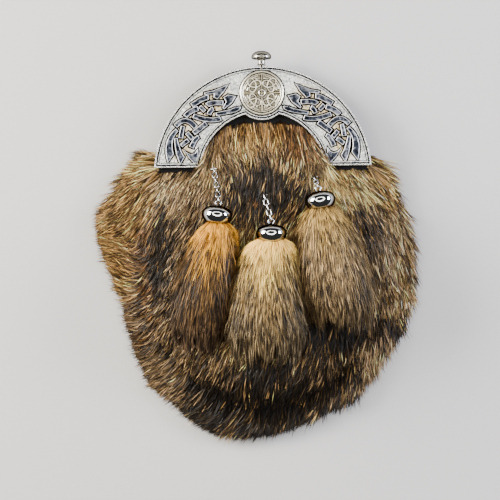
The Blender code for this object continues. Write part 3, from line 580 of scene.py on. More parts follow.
def stippledPlate():
    # silver plate over a cast, stippled ground: a matte sparkle of small pits, warmer inside the knotwork,
    # with painted shade in its crevices and near-black groove floors
    made, tree, shader = newMaterial("stippled silver plate", {"Metallic": 1.0})
    place = addNode(tree, "TexCoord", out="Object")
    # 1.1 pits to the millimetre; the real ones are about half as wide and wouldn't show
    pits = addNode(tree, "TexVoronoi", {"Vector": place, "Scale": 1.1 / mm})
    grain = addNode(tree, "TexNoise", {"Vector": place, "Scale": 0.8 / mm, "Detail": 4.0, "Roughness": 0.7})
    cloud = addNode(tree, "TexNoise", {"Vector": place, "Scale": 0.07 / mm, "Detail": 3.0})
    cool = addNode(tree, "ValToRGB", {"Fac": grain}, stops=(
        (0.34, "#666d76"), (0.46, "#b8bcba"), (0.56, "#e4e5de"), (0.66, "#ffffff")))
    warm = addNode(tree, "ValToRGB", {"Fac": grain}, stops=(
        (0.34, "#7a6342"), (0.46, "#c0ad82"), (0.56, "#e2d4b0"), (0.66, "#fff8e6")))
    tint = addNode(tree, "Mix", {"Factor": coolWarm(tree, place), 6: cool, 7: warm}, **inColour)
    drift = addNode(tree, "ValToRGB", {"Fac": cloud}, stops=((0.35, "#d0d4d6"), (0.6, "#ffffff")))
    ground = addNode(tree, "Mix", {"Factor": 0.75, 6: tint, 7: drift}, blend_type="MULTIPLY", **inColour)
    # painted shade: darker where ambient occlusion finds a crevice, as in the two grooves inside the rim
    unoccluded = openness(tree, 1.2, 0.5, 0.92)
    shaded = addNode(tree, "Mix", {"Factor": unoccluded, 6: "#241e17", 7: ground}, **inColour)
    # the grooves' floors, below 16.84 mm, are coloured near black
    raised = byHeight(tree, place, 16.84, 16.94)
    groovesDark = addNode(tree, "Mix", {"Factor": raised, 6: "#1b1c20", 7: shaded}, **inColour)
    rim = byHeight(tree, place, 17.45, 17.7)
    plug(shader, {
        "Base Color": addNode(tree, "Mix", {"Factor": rim, 6: groovesDark, 7: "#cfd1d2"}, **inColour),
        "Roughness": addNode(tree, "MapRange", {"Value": rim, "To Min": 0.42, "To Max": 0.25}),
        "Normal": addNode(tree, "Bump", {"Height": pits, "Strength": 0.6, "Distance": 0.6 * mm}),
    })
    return made


def polishedRelief():
    # polished flat tops painted dark blue-grey with light streaks, a painted reflection of the dark room;
    # white bevels; and the gutters near black, a painted shadow outline round each band
    made, tree, shader = newMaterial("polished silver relief with painted reflection and shadow", {"Metallic": 1.0})
    place = addNode(tree, "TexCoord", out="Object")
    facing = addNode(tree, "SeparateXYZ", {"Vector": addNode(tree, "NewGeometry", out="Normal")}, "Z")
    cloud = addNode(tree, "TexNoise", {"Vector": place, "Scale": 0.42 / mm, "Detail": 3.0})
    # painted reflection: the flat tops take a dark blue-grey with light streaks, as they would look mirroring
    # the dark room and the lamps
    top = addNode(tree, "ValToRGB", {"Fac": cloud}, stops=(
        (0.34, "#1c2028"), (0.52, "#525a6c"), (0.66, "#b9c0ce")))
    flat = addNode(tree, "MapRange", {"Value": facing, "From Min": 0.90, "From Max": 0.97})
    face = addNode(tree, "Mix", {"Factor": flat, 6: "#ffffff", 7: top}, **inColour)
    # painted shadow: the gutter sheet and the foot of the wall, below 17.1 mm, are near black
    raised = byHeight(tree, place, 17.10, 17.18)
    plug(shader, {
        "Base Color": addNode(tree, "Mix", {"Factor": raised, 6: "#17130f", 7: face}, **inColour),
        "Roughness": addNode(tree, "MapRange", {"Value": flat, "To Min": 0.6, "To Max": 0.3}),
    })
    return made


def giltRelief():
    # the medallion's worn gilding: cream gold on the high places, darker low down, and near black at the
    # lowest heights, where the flat dark lines lie that are painted shadows
    made, tree, shader = newMaterial("worn gilt relief with painted shadow lines", {"Metallic": 1.0, "Roughness": 0.3})
    place = addNode(tree, "TexCoord", out="Object")
    worn = addNode(tree, "TexNoise", {"Vector": place, "Scale": 0.5 / mm, "Detail": 3.0})
    floor = addNode(tree, "ValToRGB", {"Fac": worn}, stops=(
        (0.36, "#a49a7c"), (0.52, "#d8d1b8"), (0.64, "#f6f1de")))
    tone = addNode(tree, "ValToRGB", {"Fac": byHeight(tree, place, 17.1, 17.8)}, stops=(
        (0.10, "#15100a"), (0.30, "#8f8668"), (0.55, "#f2ecd8")))
    raised = byHeight(tree, place, 17.055, 17.075)
    shown = addNode(tree, "Mix", {"Factor": raised, 6: floor, 7: tone}, **inColour)
    # painted shade: near black where ambient occlusion finds a crevice between the strands
    unoccluded = openness(tree, 0.9, 0.45, 0.8)
    plug(shader, {"Base Color": addNode(tree, "Mix", {"Factor": unoccluded, 6: "#1d170e", 7: shown}, **inColour)})
    return made


def brightPlate(name, hexText, roughness, paintedShade=(0.2, 0.6), steep=None):
    # mirror-bright chrome over brass, with the faint haze of handling, and painted shade where the fur crowds
    # it
    made, tree, shader = newMaterial(name, {"Metallic": 1.0})
    place = addNode(tree, "TexCoord", out="Object")
    haze = addNode(tree, "TexNoise", {"Vector": place, "Scale": 0.3 / mm, "Detail": 3.0})
    # painted shade: near black where ambient occlusion finds the fur crowding the metal
    unoccluded = openness(tree, 12, *paintedShade)
    shade = addNode(tree, "Mix", {"Factor": unoccluded, 6: "#101214", 7: hexText}, **inColour)
    if steep:
        # and a painted reflection on the steep sides that fall away into the fur: a dull grey-brown, as if
        # they mirrored the fur and not the pale floor
        slope = addNode(tree, "SeparateXYZ", {"Vector": addNode(tree, "NewGeometry", out="Normal")}, "Z")
        faced = addNode(tree, "MapRange", {"Value": slope, "From Min": steep[0], "From Max": steep[1]})
        shade = addNode(tree, "Mix", {"Factor": faced, 6: "#837c72", 7: shade}, **inColour)
    plug(shader, {
        "Base Color": shade,
        "Roughness": addNode(tree, "MapRange", {
            "Value": haze, "To Min": roughness * 0.6, "To Max": roughness * 1.8}),
        "Specular Tint": "#202428",  # a turned edge darkens where it falls away
    })
    return made


def makeCantle():
    edge = cantle["edge"]
    plate = raisePiece([(cantleOutline(inward), height) for inward, height in edge])
    smoothByAngle(plate, cantle["soft"])
    finishPiece(plate, "cantle_plate", stippledPlate(), "cantle")
    raised = [makeBand(side, *row) for row in knotBands for side in (-1, 1)]
    raised += [raiseRelief(row, side) for row in knotLeaves for side in (-1, 1)]
    finishPiece(joinPieces(raised), "cantle_knotwork", polishedRelief(), "cantle")
    finishPiece(makeMedallion(), "cantle_medallion", giltRelief(), "cantle")


makeCantle()
print("stage: cantle")

knob = {
    "foot": (0.0, 76.05, 16.5),
    "profile": (  # radius, height above the foot
        (0, 10.2), (2.0, 10.1), (3.4, 9.75), (4.8, 9.15), (6.0, 8.2), (6.7, 7.2), (7.0, 6.2), (6.95, 5.4),
        (6.7, 4.8), (6.0, 4.3), (5.2, 4.2), (4.0, 4.4), (3.2, 4.6), (2.7, 4.2), (2.5, 3.6), (2.45, 2.2),
        (2.6, 0.6), (3.2, 0.3), (3.2, 0.05), (0, 0),
    ),
    "tongue": ((0, 75.3, 17.9), (1.8, 3.4, 0.9), 0.4),  # middle, size, rounding
    "finish": ("nickel plated brass knob", "#8f8d84", 0.2),
}


def turnedPiece(profile):
    # a sphere's rings drawn out to the profile's radii and heights
    rings = len(profile) - 1
    bpy.ops.mesh.primitive_uv_sphere_add(segments=48, ring_count=rings, radius=1)
    piece = bpy.context.object
    for vert in piece.data.vertices:
        radius, height = profile[round(math.acos(max(-1, min(1, vert.co.z))) / math.pi * rings)]
        away = Vector((vert.co.x, vert.co.y))
        away = away.normalized() * radius if away.length > 1e-6 else away
        vert.co = (away.x * mm, away.y * mm, height * mm)
    fixNormals(piece)
    smooth = piece.modifiers.new("smooth", "SUBSURF")
    smooth.levels = smooth.render_levels = 1
    applyAll(piece)
    bpy.ops.object.shade_smooth()
    return piece


def makeKnob():
    turned = turnedPiece(knob["profile"])
    turned.rotation_euler = (-math.pi / 2, 0, 0)
    turned.location = Vector(knob["foot"]) * mm
    applyAll(turned)
    tongue = makeBlock(*knob["tongue"], 3)
    bpy.ops.object.shade_smooth()
    whole = joinPieces([turned, tongue])
    finishPiece(whole, "clasp_knob_turned", brightPlate(*knob["finish"]), "clasp_knob")


chains = {  # the staple's bar, the wire of the cap's eye, the cap's top, its lean in degrees, and the links
    "left": ((-33.85, 4.25, 28.75), (-30.74, -17.67, 42.34), (-31.18, -21.24, 42.34), 7.0, 7),
    "middle": ((0.45, -14.87, 37.93), (5.0, -30.9, 44.79), (5.0, -34.5, 44.79), 0.0, 5),
    "right": ((35.11, -2.9, 32.25), (37.15, -8.64, 40.25), (37.78, -12.19, 40.25), -10.0, 3),
}
link = {
    "halfLength": 2.35,
    "halfWidth": 1.45,
    "wire": 0.45,
    "pitch": 3.98,
    "hold": 1.3,  # from the bar to the end of the first link
    "finish": ("plated wire", "#bcbdbc", 0.12),
}
cap = {
    "profile": (  # radius, distance below the top
        (0, 0.2), (2.0, 0.1), (4.3, -0.3), (6.6, -1.0), (8.5, -2.1), (9.8, -3.5), (10.45, -4.9), (10.6, -6.2),
        (10.4, -7.7), (9.8, -9.2), (8.8, -10.7), (7.6, -11.9), (6.9, -12.1), (6.4, -11.8), (6.1, -11.0),
        (5.9, -9.3), (3.0, -9.2), (0, -9.2),
    ),
    "eye": (1.9, 0.5, 0.2),  # ring radius, wire radius and how deep it is set
    # name, colour, roughness, the openness range of the painted shade, and the slopes that take the painted
    # reflection
    "finish": ("chromed brass", "#c2c6ca", 0.05, (0.4, 0.62), (0.5, 0.72)),
}


def axesMatrix(origin, x, y):
    turn = Matrix((x, y, x.cross(y))).transposed().to_4x4()
    return Matrix.Translation(origin * mm) @ turn


def makeChain(side, finish):
    bar, eye = (Vector(spot) for spot in chains[side][:2])
    run = (eye - bar).normalized()
    across = run.cross(Vector((0, 0, 1))).normalized()
    flats = (across.cross(run), across)  # every other link lies across
    stretch = link["halfLength"] - link["halfWidth"]
    links = []
    for index in range(chains[side][4]):
        centre = bar + run * (link["halfLength"] - link["hold"] + index * link["pitch"])
        matrix = axesMatrix(centre, run, flats[index % 2])
        links.append(makeRing(link["halfWidth"], link["wire"], matrix, stretch=stretch))
    finishPiece(joinPieces(links), "chain_links_" + side, finish, "tassel_chain_" + side)
    wear(nodes["chain_staple_" + side], finish)


def makeCap(side, finish):
    top, lean, count = chains[side][2:]
    top, lean = Vector(top), math.radians(lean)
    below = Vector((-math.sin(lean), -math.cos(lean), 0))
    sideways = Vector((below.y, -below.x, 0))
    dome = turnedPiece(cap["profile"])
    dome.matrix_world = axesMatrix(top, sideways, sideways.cross(below))
    applyAll(dome)
    radius, wire, depth = cap["eye"]
    normal = Vector((0, 0, 1)) if count % 2 else sideways  # square to the last link
    matrix = axesMatrix(top - below * (radius - depth), below, normal.cross(below))
    whole = joinPieces([dome, makeRing(radius, wire, matrix)])
    finishPiece(whole, "cap_dome_" + side, finish, "tassel_cap_" + side)


makeKnob()
chrome, wireFinish = brightPlate(*cap["finish"]), brightPlate(*link["finish"])
for side in chains:
    makeChain(side, wireFinish)
    makeCap(side, chrome)
print("stage: knob, chains and caps")

leathers = {  # name, dark and light colour, roughness, and the grain's width
    "cantle_backing": ("waxed black calf", "#030303", "#0b0a0b", 0.78, 0.9),
    "back_panel": ("smooth black hide", "#0c0b0b", "#262220", 0.55, 1.2),
    "pouch_shell": ("dark tanned hide", "#140d08", "#2c1d12", 0.8, 1.2),
}


def leather(name, dark, light, roughness, grain):
    # pebbled grain under a wax finish: small soft cells and a low, uneven sheen
    made, tree, shader = newMaterial(name, {"Specular IOR Level": 0.12})
    place = addNode(tree, "TexCoord", out="Object")
    cells = addNode(tree, "TexVoronoi", {"Vector": place, "Scale": 1 / (grain * mm)})
    wearing = addNode(tree, "TexNoise", {"Vector": place, "Scale": 0.06 / mm, "Detail": 5.0})
    plug(shader, {
        "Base Color": addNode(tree, "ValToRGB", {"Fac": wearing}, stops=((0.3, dark), (0.75, light))),
        "Roughness": addNode(tree, "MapRange", {
            "Value": wearing, "To Min": roughness - 0.1, "To Max": roughness + 0.12}),
        "Normal": addNode(tree, "Bump", {"Height": cells, "Strength": 0.35, "Distance": 0.4 * mm}),
    })
    return made


for name, row in leathers.items():
    wear(nodes[name], leather(*row))
print("stage: leather")

ground = {  # what the hair grows on, as a grid of heights
    "step": 2.0,
    "low": (-140.0, -204.0),
    "high": (140.0, 60.0),
    "above": 90.0,  # over all of the part
    "rim": 3.0,  # height of the coat's skin past the leather
    "open": 200.0,  # taken as the height of what hangs over the skin where nothing does
    "clear": 0.3,  # skin over the black leather
}


def treeOf(names):
    verts, faces = [], []
    for name in names:
        mesh = nodes[name].data
        mesh.calc_loop_triangles()
        base = len(verts)
        verts += [vert.co / mm for vert in mesh.vertices]
        faces += [tuple(base + index for index in face.vertices) for face in mesh.loop_triangles]
    return BVHTree.FromPolygons(verts, faces)


def castGrid(names, start, way, missed):
    # heights at which rays up or down meet the named solids
    tree = treeOf(names)
    xs, ys = (np.arange(low, high + 0.1, ground["step"]) for low, high in zip(ground["low"], ground["high"]))
    heights = np.full((len(ys), len(xs)), missed)
    for j, y in enumerate(ys):
        for i, x in enumerate(xs):
            spot = tree.ray_cast(Vector((x, y, start)), Vector((0, 0, way)))[0]
            if spot is not None:
                heights[j, i] = spot.z
    return heights


def blurred(grid, times):
    for _ in range(times):
        padded = np.pad(grid, 1, mode="edge")
        grid = (padded[1:-1, 1:-1] * 4 + padded[:-2, 1:-1] + padded[2:, 1:-1]
                + padded[1:-1, :-2] + padded[1:-1, 2:]) / 8
    return grid


def makeGrids():
    above = ground["above"]
    leatherTop = castGrid(["pouch_shell"], above, -1, ground["rim"])
    metal = (castGrid(["cantle"], above, -1, 0.0) > 0) * 1.0
    backing = (castGrid(["cantle_backing"], above, -1, 0.0) > 0) * 1.0
    hanging = [name for name in nodes if name.startswith(("tassel_fur", "tassel_cap"))]
    ceiling = castGrid(hanging, 0, 1, ground["open"])
    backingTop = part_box("cantle_backing")[1][2] / mm + ground["clear"]
    return {
        "skin": np.maximum(blurred(leatherTop, 3), backing * backingTop),
        "ceiling": np.minimum(ceiling, blurred(ceiling, 1)),  # what hangs over the skin
        "edge": blurred(backing, 10),  # more than 0 within about 8 mm of the black leather
        "metal": blurred(metal, 1),
        "backing": blurred(backing, 1),
    }


def readGrid(name, places):
    grid = grids[name]
    i = np.clip((places[..., 0] - ground["low"][0]) / ground["step"], 0, grid.shape[1] - 1.001)
    j = np.clip((places[..., 1] - ground["low"][1]) / ground["step"], 0, grid.shape[0] - 1.001)
    i0, j0 = i.astype(int), j.astype(int)
    fi, fj = i - i0, j - j0
    low = grid[j0, i0] * (1 - fi) + grid[j0, i0 + 1] * fi
    high = grid[j0 + 1, i0] * (1 - fi) + grid[j0 + 1, i0 + 1] * fi
    return low * (1 - fj) + high * fj


def archGap(places):
    # how far inside the metal's arch a place is, and less where the lobe hangs down
    x, y = places[..., 0], places[..., 1]
    middle, lobe = cantle["lobe"]
    inside = np.minimum(cantle["arch"] - np.hypot(x, y), np.hypot(x, y - middle) - lobe)
    return np.where(y > cantle["foot"] - 4, inside, 99.0)


grids = makeGrids()
print("stage: grids of the leather and what hangs over it")

# how the hair is combed: place, then degrees from straight down, + to the right
combStrokes = (
    (-84, 14, -98), (-76, 12, -105), (-92, 9, -80), (-80, 4, -66), (80, 5, 62), (84, 0, 56),
    (76, -4, 44), (-102, -10, -60), (-95, -17, -48), (-85, -17, -34), (-68, -3, -26), (-50, -10, -28),
    (-109, -35, -66), (-99, -35, -50), (-85, -38, -32), (-105, -48, -105), (-100, -62, -122),
    (-92, -62, -125), (-96, -75, -112), (-80, -70, -32), (-85, -88, -50), (-95, -100, -80),
    (-88, -117, -68), (-78, -107, -40), (-78, -134, -58), (-78, -146, -75), (-68, -114, -30),
    (-68, -152, -55), (-50, -134, -26), (-50, -159, -40), (-47, -170, -72), (-33, -155, -20),
    (-26, -145, -14), (-16, -176, -45), (0, -155, -5), (0, -180, -15), (26, -141, -20), (26, -166, -34),
    (50, -159, -15), (57, -128, 0), (64, -148, -5), (74, -131, -6), (84, -121, -4), (95, -100, 5),
    (101, -79, 12), (81, -66, 15), (101, -59, 20), (98, -45, 25), (84, -38, 22), (67, -31, 26),
    (95, -17, 32), (88, -7, 36), (74, -3, 32), (53, -3, 22), (-16, 31, -4), (1, 31, 2), (19, 31, 4),
    (-33, 17, -18), (-26, 12, 34), (-28, 24, 10), (-9, 20, 20), (5, 17, 8), (22, 17, -14), (34, 17, 26),
    (-38, -2, -22), (-19, -7, -8), (-9, -14, -22), (8, -10, 0), (26, -7, -24), (22, -24, -32),
    (38, 0, 20), (50, -17, 24), (0, -86, 0), (-57, -52, -28), (-61, -86, -30), (-68, -65, -20),
    (-74, -45, -12),
)

# each tone: hair at the root, its middle, its pale band and its tip, and the share of black guard hairs
coatTones = {
    "agouti": ("#170e07", "#5b3c1f", "#ecba73", "#462f1a", 0.36),
    "golden": ("#1d1006", "#613e17", "#c4975a", "#90662f", 0.36),
    "straw": ("#261608", "#986630", "#f7cb7e", "#d8a05a", 0.28),
    "amber": ("#150c07", "#543515", "#a67d44", "#765328", 0.40),
    "rust": ("#1c110a", "#5f3a1a", "#a8743e", "#724b28", 0.32),
    "umber": ("#0d0704", "#2d1b0a", "#956633", "#35220f", 0.52),
    "dusk": ("#0d0805", "#302215", "#d1aa76", "#372a1b", 0.52),
    "black": ("#060304", "#0e0805", "#58452b", "#140e07", 0.78),
    "ash": ("#160d08", "#614b2d", "#d9b480", "#7e6444", 0.36),
    "khaki": ("#140f0d", "#594429", "#d3ab7d", "#806944", 0.36),
}

# patches of the coat: middle, half size across and along, turn of the long way in degrees, tone, strength
# the black and dusk patches low on the coat, and the black one at (53, -114) under the right tassel's tips,
# are partly the fur's own dark tone and partly painted shade, where the coat curves away from the light and
# where the tassel's shadow falls
coatPatches = (
    (-97, -20, 20, 36, 0, "golden", 1.0), (-88, 8, 18, 10, 0, "straw", 1.0),
    (-104, -44, 14, 12, 0, "amber", 1.2), (-87, -53, 8, 13, -20, "umber", 2.2),
    (-100, -64, 12, 12, 0, "amber", 0.7), (-83, -80, 6, 6, 0, "umber", 1.6),
    (-81, -92, 7, 12, -15, "khaki", 0.8), (-92, -112, 9, 16, 0, "khaki", 0.4),
    (-80, -116, 19, 30, -10, "dusk", 3.8), (-74, -104, 8, 16, 0, "black", 1.2),
    (-87, -106, 12, 26, -10, "umber", 2.0), (-62, -6, 26, 16, 0, "ash", 1.0),
    (-73, -56, 9, 34, -5, "black", 2.2), (-60, -58, 9, 34, -10, "dusk", 1.2),
    (-56, -138, 24, 30, -15, "dusk", 1.4), (-72, -150, 16, 12, 0, "khaki", 0.8),
    (-42, -158, 26, 18, -10, "black", 2.4), (-27, -150, 6, 12, -15, "khaki", 0.8),
    (3, -160, 28, 24, 0, "black", 3.2), (44, -150, 24, 20, 0, "black", 1.8),
    (44, -150, 24, 20, 0, "dusk", 1.2), (76, -125, 16, 26, 0, "khaki", 0.9),
    (53, -114, 40, 11, 5, "black", 2.6), (78, -60, 10, 44, 8, "dusk", 1.8),
    (74, -40, 7, 16, 20, "black", 1.3), (96, -60, 12, 48, 0, "khaki", 0.8),
    (64, -8, 28, 16, 0, "straw", 2.3), (90, -10, 12, 18, 0, "golden", 1.1),
    (-5, 31, 36, 12, 0, "amber", 2.8), (30, 25, 17, 17, 0, "rust", 1.6),
    (-32, 14, 9, 16, 0, "dusk", 0.6), (-24, 8, 7, 12, 0, "dusk", 0.8),
    (-31, 24, 8, 14, 0, "amber", 2.4), (-52, -22, 11, 20, 0, "dusk", 1.3),
    (-12, 16, 8, 9, 0, "straw", 0.6), (24, -2, 14, 12, 0, "agouti", 0.9),
    (36, 4, 9, 18, 0, "dusk", 2.2), (4, 8, 9, 9, 0, "dusk", 0.8), (20, 14, 8, 9, 0, "umber", 1.2),
    (2, -16, 27, 18, 0, "black", 2.3), (-4, -20, 4, 8, 0, "rust", 1.5),
    (-34, -18, 12, 14, 0, "dusk", 0.7),
)

coat = {
    "seed": 11,
    "clumps": 23500,
    "edgeClumps": 2600,  # more of them where the coat comes out from under the black leather
    "edgeBand": 0.55,  # how far those show their pale band at once
    "edgeWide": 9.0,  # how far from the arch they do
    "under": 0.35,  # share of the clumps that are grown under the tassels
    "hairs": 4,  # in a clump
    "length": (15.0, 26.0),
    "bare": (0.7, 0.9),  # leather left bare inside the arch, at its sides and at its top
    "rise": (2.6, 7.5),  # how high a clump lies over the skin
    "spread": 1.6,  # radius of a clump at the skin
    "gather": 0.9,  # and at its tip
    "width": 0.52,  # real guard hair is 0.08 mm; drawn this wide so that it shows at 0.7 mm to the pixel
    "plain": 0.55,  # how strong the plain agouti is against the patches
    "uneven": 0.72,  # spread of the hairs' brightness, as a power of e
    "patchy": 0.31,  # and of the clumps'
    "wisps": (0.26, 0.30),  # share of clumps of black-tipped hair, and how bright they are
    "unruly": 6.0,  # degrees that a clump strays
    "curl": 6.0,  # degrees that it bends
    "stray": 7.0,  # degrees that each hair in it strays
    "twist": 0.5,  # how far a ribbon's flat turns from facing outward
    "centre": (0.0, -76.4),
    "steps": (0.0, 0.36, 0.70, 1.0),
    "margin": 7.0,  # the outermost roots are this far inside the hair's reach
    "corner": 73.0,  # where the feet's outer corners are, from the middle
    "sectors": {  # one piece for each, between two bearings
        "coat_top": (322, 38), "coat_right": (38, 118), "coat_bottom": (118, 190),
        "coat_low_left": (190, 252), "coat_left": (252, 322),
    },
}

# bearing clockwise from the top about the coat's centre, and how far the hair's tips reach
coatReach = (
    (0, 119), (36, 120), (41, 124), (46, 122), (50, 119), (55, 117), (61, 115), (72, 112), (83, 110),
    (94, 107), (106, 105), (119, 102), (132, 100), (146, 106), (154, 101), (164, 102), (172, 104),
    (186, 109), (201, 112), (210, 110), (220, 106), (230, 109), (236, 105), (247, 103), (260, 102),
    (266, 104), (272, 107), (277, 111), (282, 117), (286, 124), (291, 129), (295, 131), (301, 128),
    (307, 126), (312, 130), (318, 127), (326, 121), (360, 119),
)


def combAngle(places):
    strokes = np.array(combStrokes, float)
    away = places[:, None, :] - strokes[None, :, :2]
    weight = 1 / (30 + (away ** 2).sum(2)) ** 2
    turns = np.radians(strokes[:, 2])
    return np.arctan2((weight * np.sin(turns)).sum(1), (weight * np.cos(turns)).sum(1))


def fromCentre(places):
    away = places - np.array(coat["centre"])
    return np.degrees(np.arctan2(away[:, 0], away[:, 1])) % 360, np.hypot(away[:, 0], away[:, 1])


def reachAt(places):
    bearing, distance = fromCentre(places)
    table = np.array(coatReach, float)
    return np.interp(bearing, table[:, 0], table[:, 1]), distance


def toneWeights(places):
    names = list(coatTones)
    weights = np.zeros((len(places), len(names)))
    weights[:, names.index("agouti")] = coat["plain"]
    for x, y, across, along, turn, tone, strength in coatPatches:
        c, s = math.cos(math.radians(turn)), math.sin(math.radians(turn))
        dx, dy = places[:, 0] - x, places[:, 1] - y
        inside = ((dx * c + dy * s) / across) ** 2 + ((-dx * s + dy * c) / along) ** 2
        weights[:, names.index(tone)] += 1.6 * strength * np.exp(-inside ** 1.5)
    return weights


def chosenTones(weights, dice):
    share = weights ** 1.5
    share = np.cumsum(share / share.sum(1, keepdims=True), axis=1)
    return (dice.random(len(weights))[:, None] > share).sum(1)


def toneColours(tones, picked):
    table = np.array([[linearColour(c) for c in row[:4]] for row in tones.values()])
    return table[picked], np.array([row[4] for row in tones.values()])[picked]


def paintPoints(mesh, shades):
    shades = np.concatenate((shades, np.ones((*shades.shape[:-1], 1))), -1)
    layer = mesh.color_attributes.new("hairColour", "FLOAT_COLOR", "POINT")
    layer.data.foreach_set("color", shades.astype(np.float32).ravel())


def ribbonMesh(name, lines, widths, colours, sides):
    # one flat tapering ribbon for each line of points, all in one mesh
    count, points = lines.shape[:2]
    taper = np.interp(np.linspace(0, 1, points), (0, 0.35, 0.8, 1.0), (0.75, 1.0, 0.7, 0.0))
    offset = sides * (widths[:, None] / 2 * taper[None, :])[..., None]
    edges = np.stack((lines[:, :-1] - offset[:, :-1], lines[:, :-1] + offset[:, :-1]), 2)
    verts = np.concatenate((edges.reshape(count, -1, 3), lines[:, -1:]), 1)
    perHair = 2 * (points - 1) + 1
    quads = np.array([[2 * k, 2 * k + 1, 2 * k + 3, 2 * k + 2] for k in range(points - 2)])
    last = 2 * (points - 2)
    tip = np.array([last, last + 1, perHair - 1])
    base = (np.arange(count) * perHair)[:, None]
    corners = np.concatenate((base + quads.reshape(1, -1), base + tip[None]), 1).ravel()
    sizes = np.tile([4] * (points - 2) + [3], count)
    mesh = bpy.data.meshes.new(name)
    mesh.vertices.add(count * perHair)
    mesh.vertices.foreach_set("co", (verts * mm).astype(np.float32).ravel())
    mesh.loops.add(len(corners))
    mesh.loops.foreach_set("vertex_index", corners.astype(np.int32))
    mesh.polygons.add(len(sizes))
    mesh.polygons.foreach_set("loop_start", np.concatenate(([0], np.cumsum(sizes)[:-1])).astype(np.int32))
    mesh.polygons.foreach_set("use_smooth", np.ones(len(sizes), bool))
    mesh.update(calc_edges=True)
    paintPoints(mesh, np.concatenate((np.repeat(colours[:, :-1], 2, axis=1), colours[:, -1:]), 1))
    made = bpy.data.objects.new(name, mesh)
    bpy.context.scene.collection.objects.link(made)
    return made


def hairSides(lines, dice, twist, outward=(0, 0, 1)):
    # the flat of a ribbon faces outward, give or take a twist
    ahead = np.gradient(lines, axis=1)
    ahead /= np.linalg.norm(ahead, axis=2, keepdims=True) + 1e-9
    tilt = dice.normal(0, 1, (len(lines), 1, 3)) * twist
    tilt[:, 0] += outward
    across = np.cross(ahead, np.broadcast_to(tilt, ahead.shape))
    return across / (np.linalg.norm(across, axis=2, keepdims=True) + 1e-9)


def bandColours(colours, dark, dice, steps, uneven):
    # root, middle, pale band and tip along each hair, then each hair's own brightness
    root, middle, band, tip = (colours[:, k] for k in range(4))
    count = len(colours)
    shift = dice.uniform(-0.08, 0.08, count)[:, None]
    t = np.array(steps)[None, :]
    toMiddle = smoothStep(t, 0.1, 0.5)[..., None]
    toBand = smoothStep(t + shift, 0.42, 0.72)[..., None]
    toTip = smoothStep(t + shift, 0.86, 1.05)[..., None]
    shade = root[:, None] * (1 - toMiddle) + middle[:, None] * toMiddle
    shade = shade * (1 - toBand) + band[:, None] * toBand
    shade = shade * (1 - toTip) + tip[:, None] * toTip
    guard = dice.random(count) < dark
    shade[guard] *= dice.uniform(0.08, 0.35, (guard.sum(), 1, 1))
    spread = np.minimum(dice.normal(0, 1, (count, 1, 1)), 1.1)  # no hair is so bright that it glitters
    return shade * np.exp(spread * np.reshape(uneven, (-1, 1, 1)))


def coatRoots(dice, wanted, besideLeather=False):
    # roots scattered over the skin, which runs on past the leather's edge in the thick of the hair
    roots = []
    while sum(map(len, roots)) < wanted:
        spots = dice.uniform(ground["low"], ground["high"], (4000, 2))
        reach, distance = reachAt(spots)
        outside = np.abs(spots[:, 0]) > coat["corner"]  # fur comes out from under the feet's outer corners
        good = (distance < reach - coat["margin"]) & (spots[:, 1] < 40)
        good &= readGrid("metal", spots) < np.where(outside, 0.7, 0.2)
        inArch = np.abs(spots[:, 0]) < cantle["arch"]
        bare = archGap(spots) > np.interp(spots[:, 1], (10, 30), coat["bare"])
        good &= np.where(inArch, bare, readGrid("backing", spots) < np.where(outside, 0.9, 0.3))
        good &= (readGrid("ceiling", spots) > 100) | (dice.random(len(spots)) < coat["under"])
        if besideLeather:
            good &= readGrid("edge", spots) > 0.12
        roots.append(spots[good])
    return np.concatenate(roots)[:wanted]


def layLines(roots, lengths, dice, unruly):
    # follow the comb from each root
    steps = np.array(coat["steps"])
    places = [roots]
    own = np.radians(dice.normal(0, unruly, len(roots)))
    curl = np.radians(dice.normal(0, coat["curl"], len(roots)))
    for k in range(1, len(steps)):
        turn = combAngle(places[-1]) + own + curl * steps[k]
        heading = np.stack((np.sin(turn), -np.cos(turn)), 1)
        places.append(places[-1] + heading * (lengths * (steps[k] - steps[k - 1]))[:, None])
    return np.stack(places, 1)


def liftLines(plan, rises):
    # over the skin and under what lies on the coat
    steps = np.array(coat["steps"])[None, :]
    skin = readGrid("skin", plan)
    lift = rises[:, None] * (1 - (1 - steps) ** 2.2) * (1 - 0.25 * steps ** 3)
    room = readGrid("ceiling", plan) - skin - 0.4
    height = skin + np.minimum(lift, np.maximum(room, 0.3))
    start, end = height[:, :1], height[:, -1:]
    chord = start + (end - start) * steps ** 1.2
    return np.concatenate((plan, np.maximum(height, chord)[..., None]), 2)


def trimToReach(roots, lengths, dice):
    # shorten what would stand out past the coat's edge
    tips = layLines(roots, lengths, np.random.default_rng(1), 0.0)[:, -1]
    reach, distance = reachAt(tips)
    rootDistance = reachAt(roots)[1]
    ragged = np.abs(dice.normal(0, 2.5, len(roots)))
    allowed = reach - ragged + np.where(dice.random(len(roots)) < 0.12, 4.0, 0.5)
    over = distance - allowed
    grown = np.maximum(distance - rootDistance, 1.0)
    return lengths * np.where(over > 0, np.clip(1 - over / grown, 0.25, 1), 1)


def layClumps(dice):
    # each clump's line along the skin, how high it rises, its tone and its brightness
    roots = np.concatenate((coatRoots(dice, coat["clumps"]), coatRoots(dice, coat["edgeClumps"], True)))
    lengths = trimToReach(roots, dice.uniform(*coat["length"], len(roots)), dice)
    rises = dice.uniform(*coat["rise"], len(roots)) * np.clip(lengths / 18, 0.4, 1)
    plan = layLines(roots, lengths, dice, coat["unruly"])
    clear = (readGrid("metal", plan[:, 1:]) < 0.2).all(1)
    plan, rises = plan[clear], rises[clear]
    weights = toneWeights(plan[:, 2])
    tones = chosenTones(weights, dice)
    dusky = [list(coatTones).index(name) for name in ("black", "umber", "dusk")]
    deep = weights[:, dusky].sum(1) / weights.sum(1)
    bright = np.exp(dice.normal(0, coat["patchy"], len(plan))) * (1.12 - 0.62 * deep)
    share, dimmed = coat["wisps"]
    bright[dice.random(len(plan)) < share] *= dimmed
    return plan, rises, tones, bright


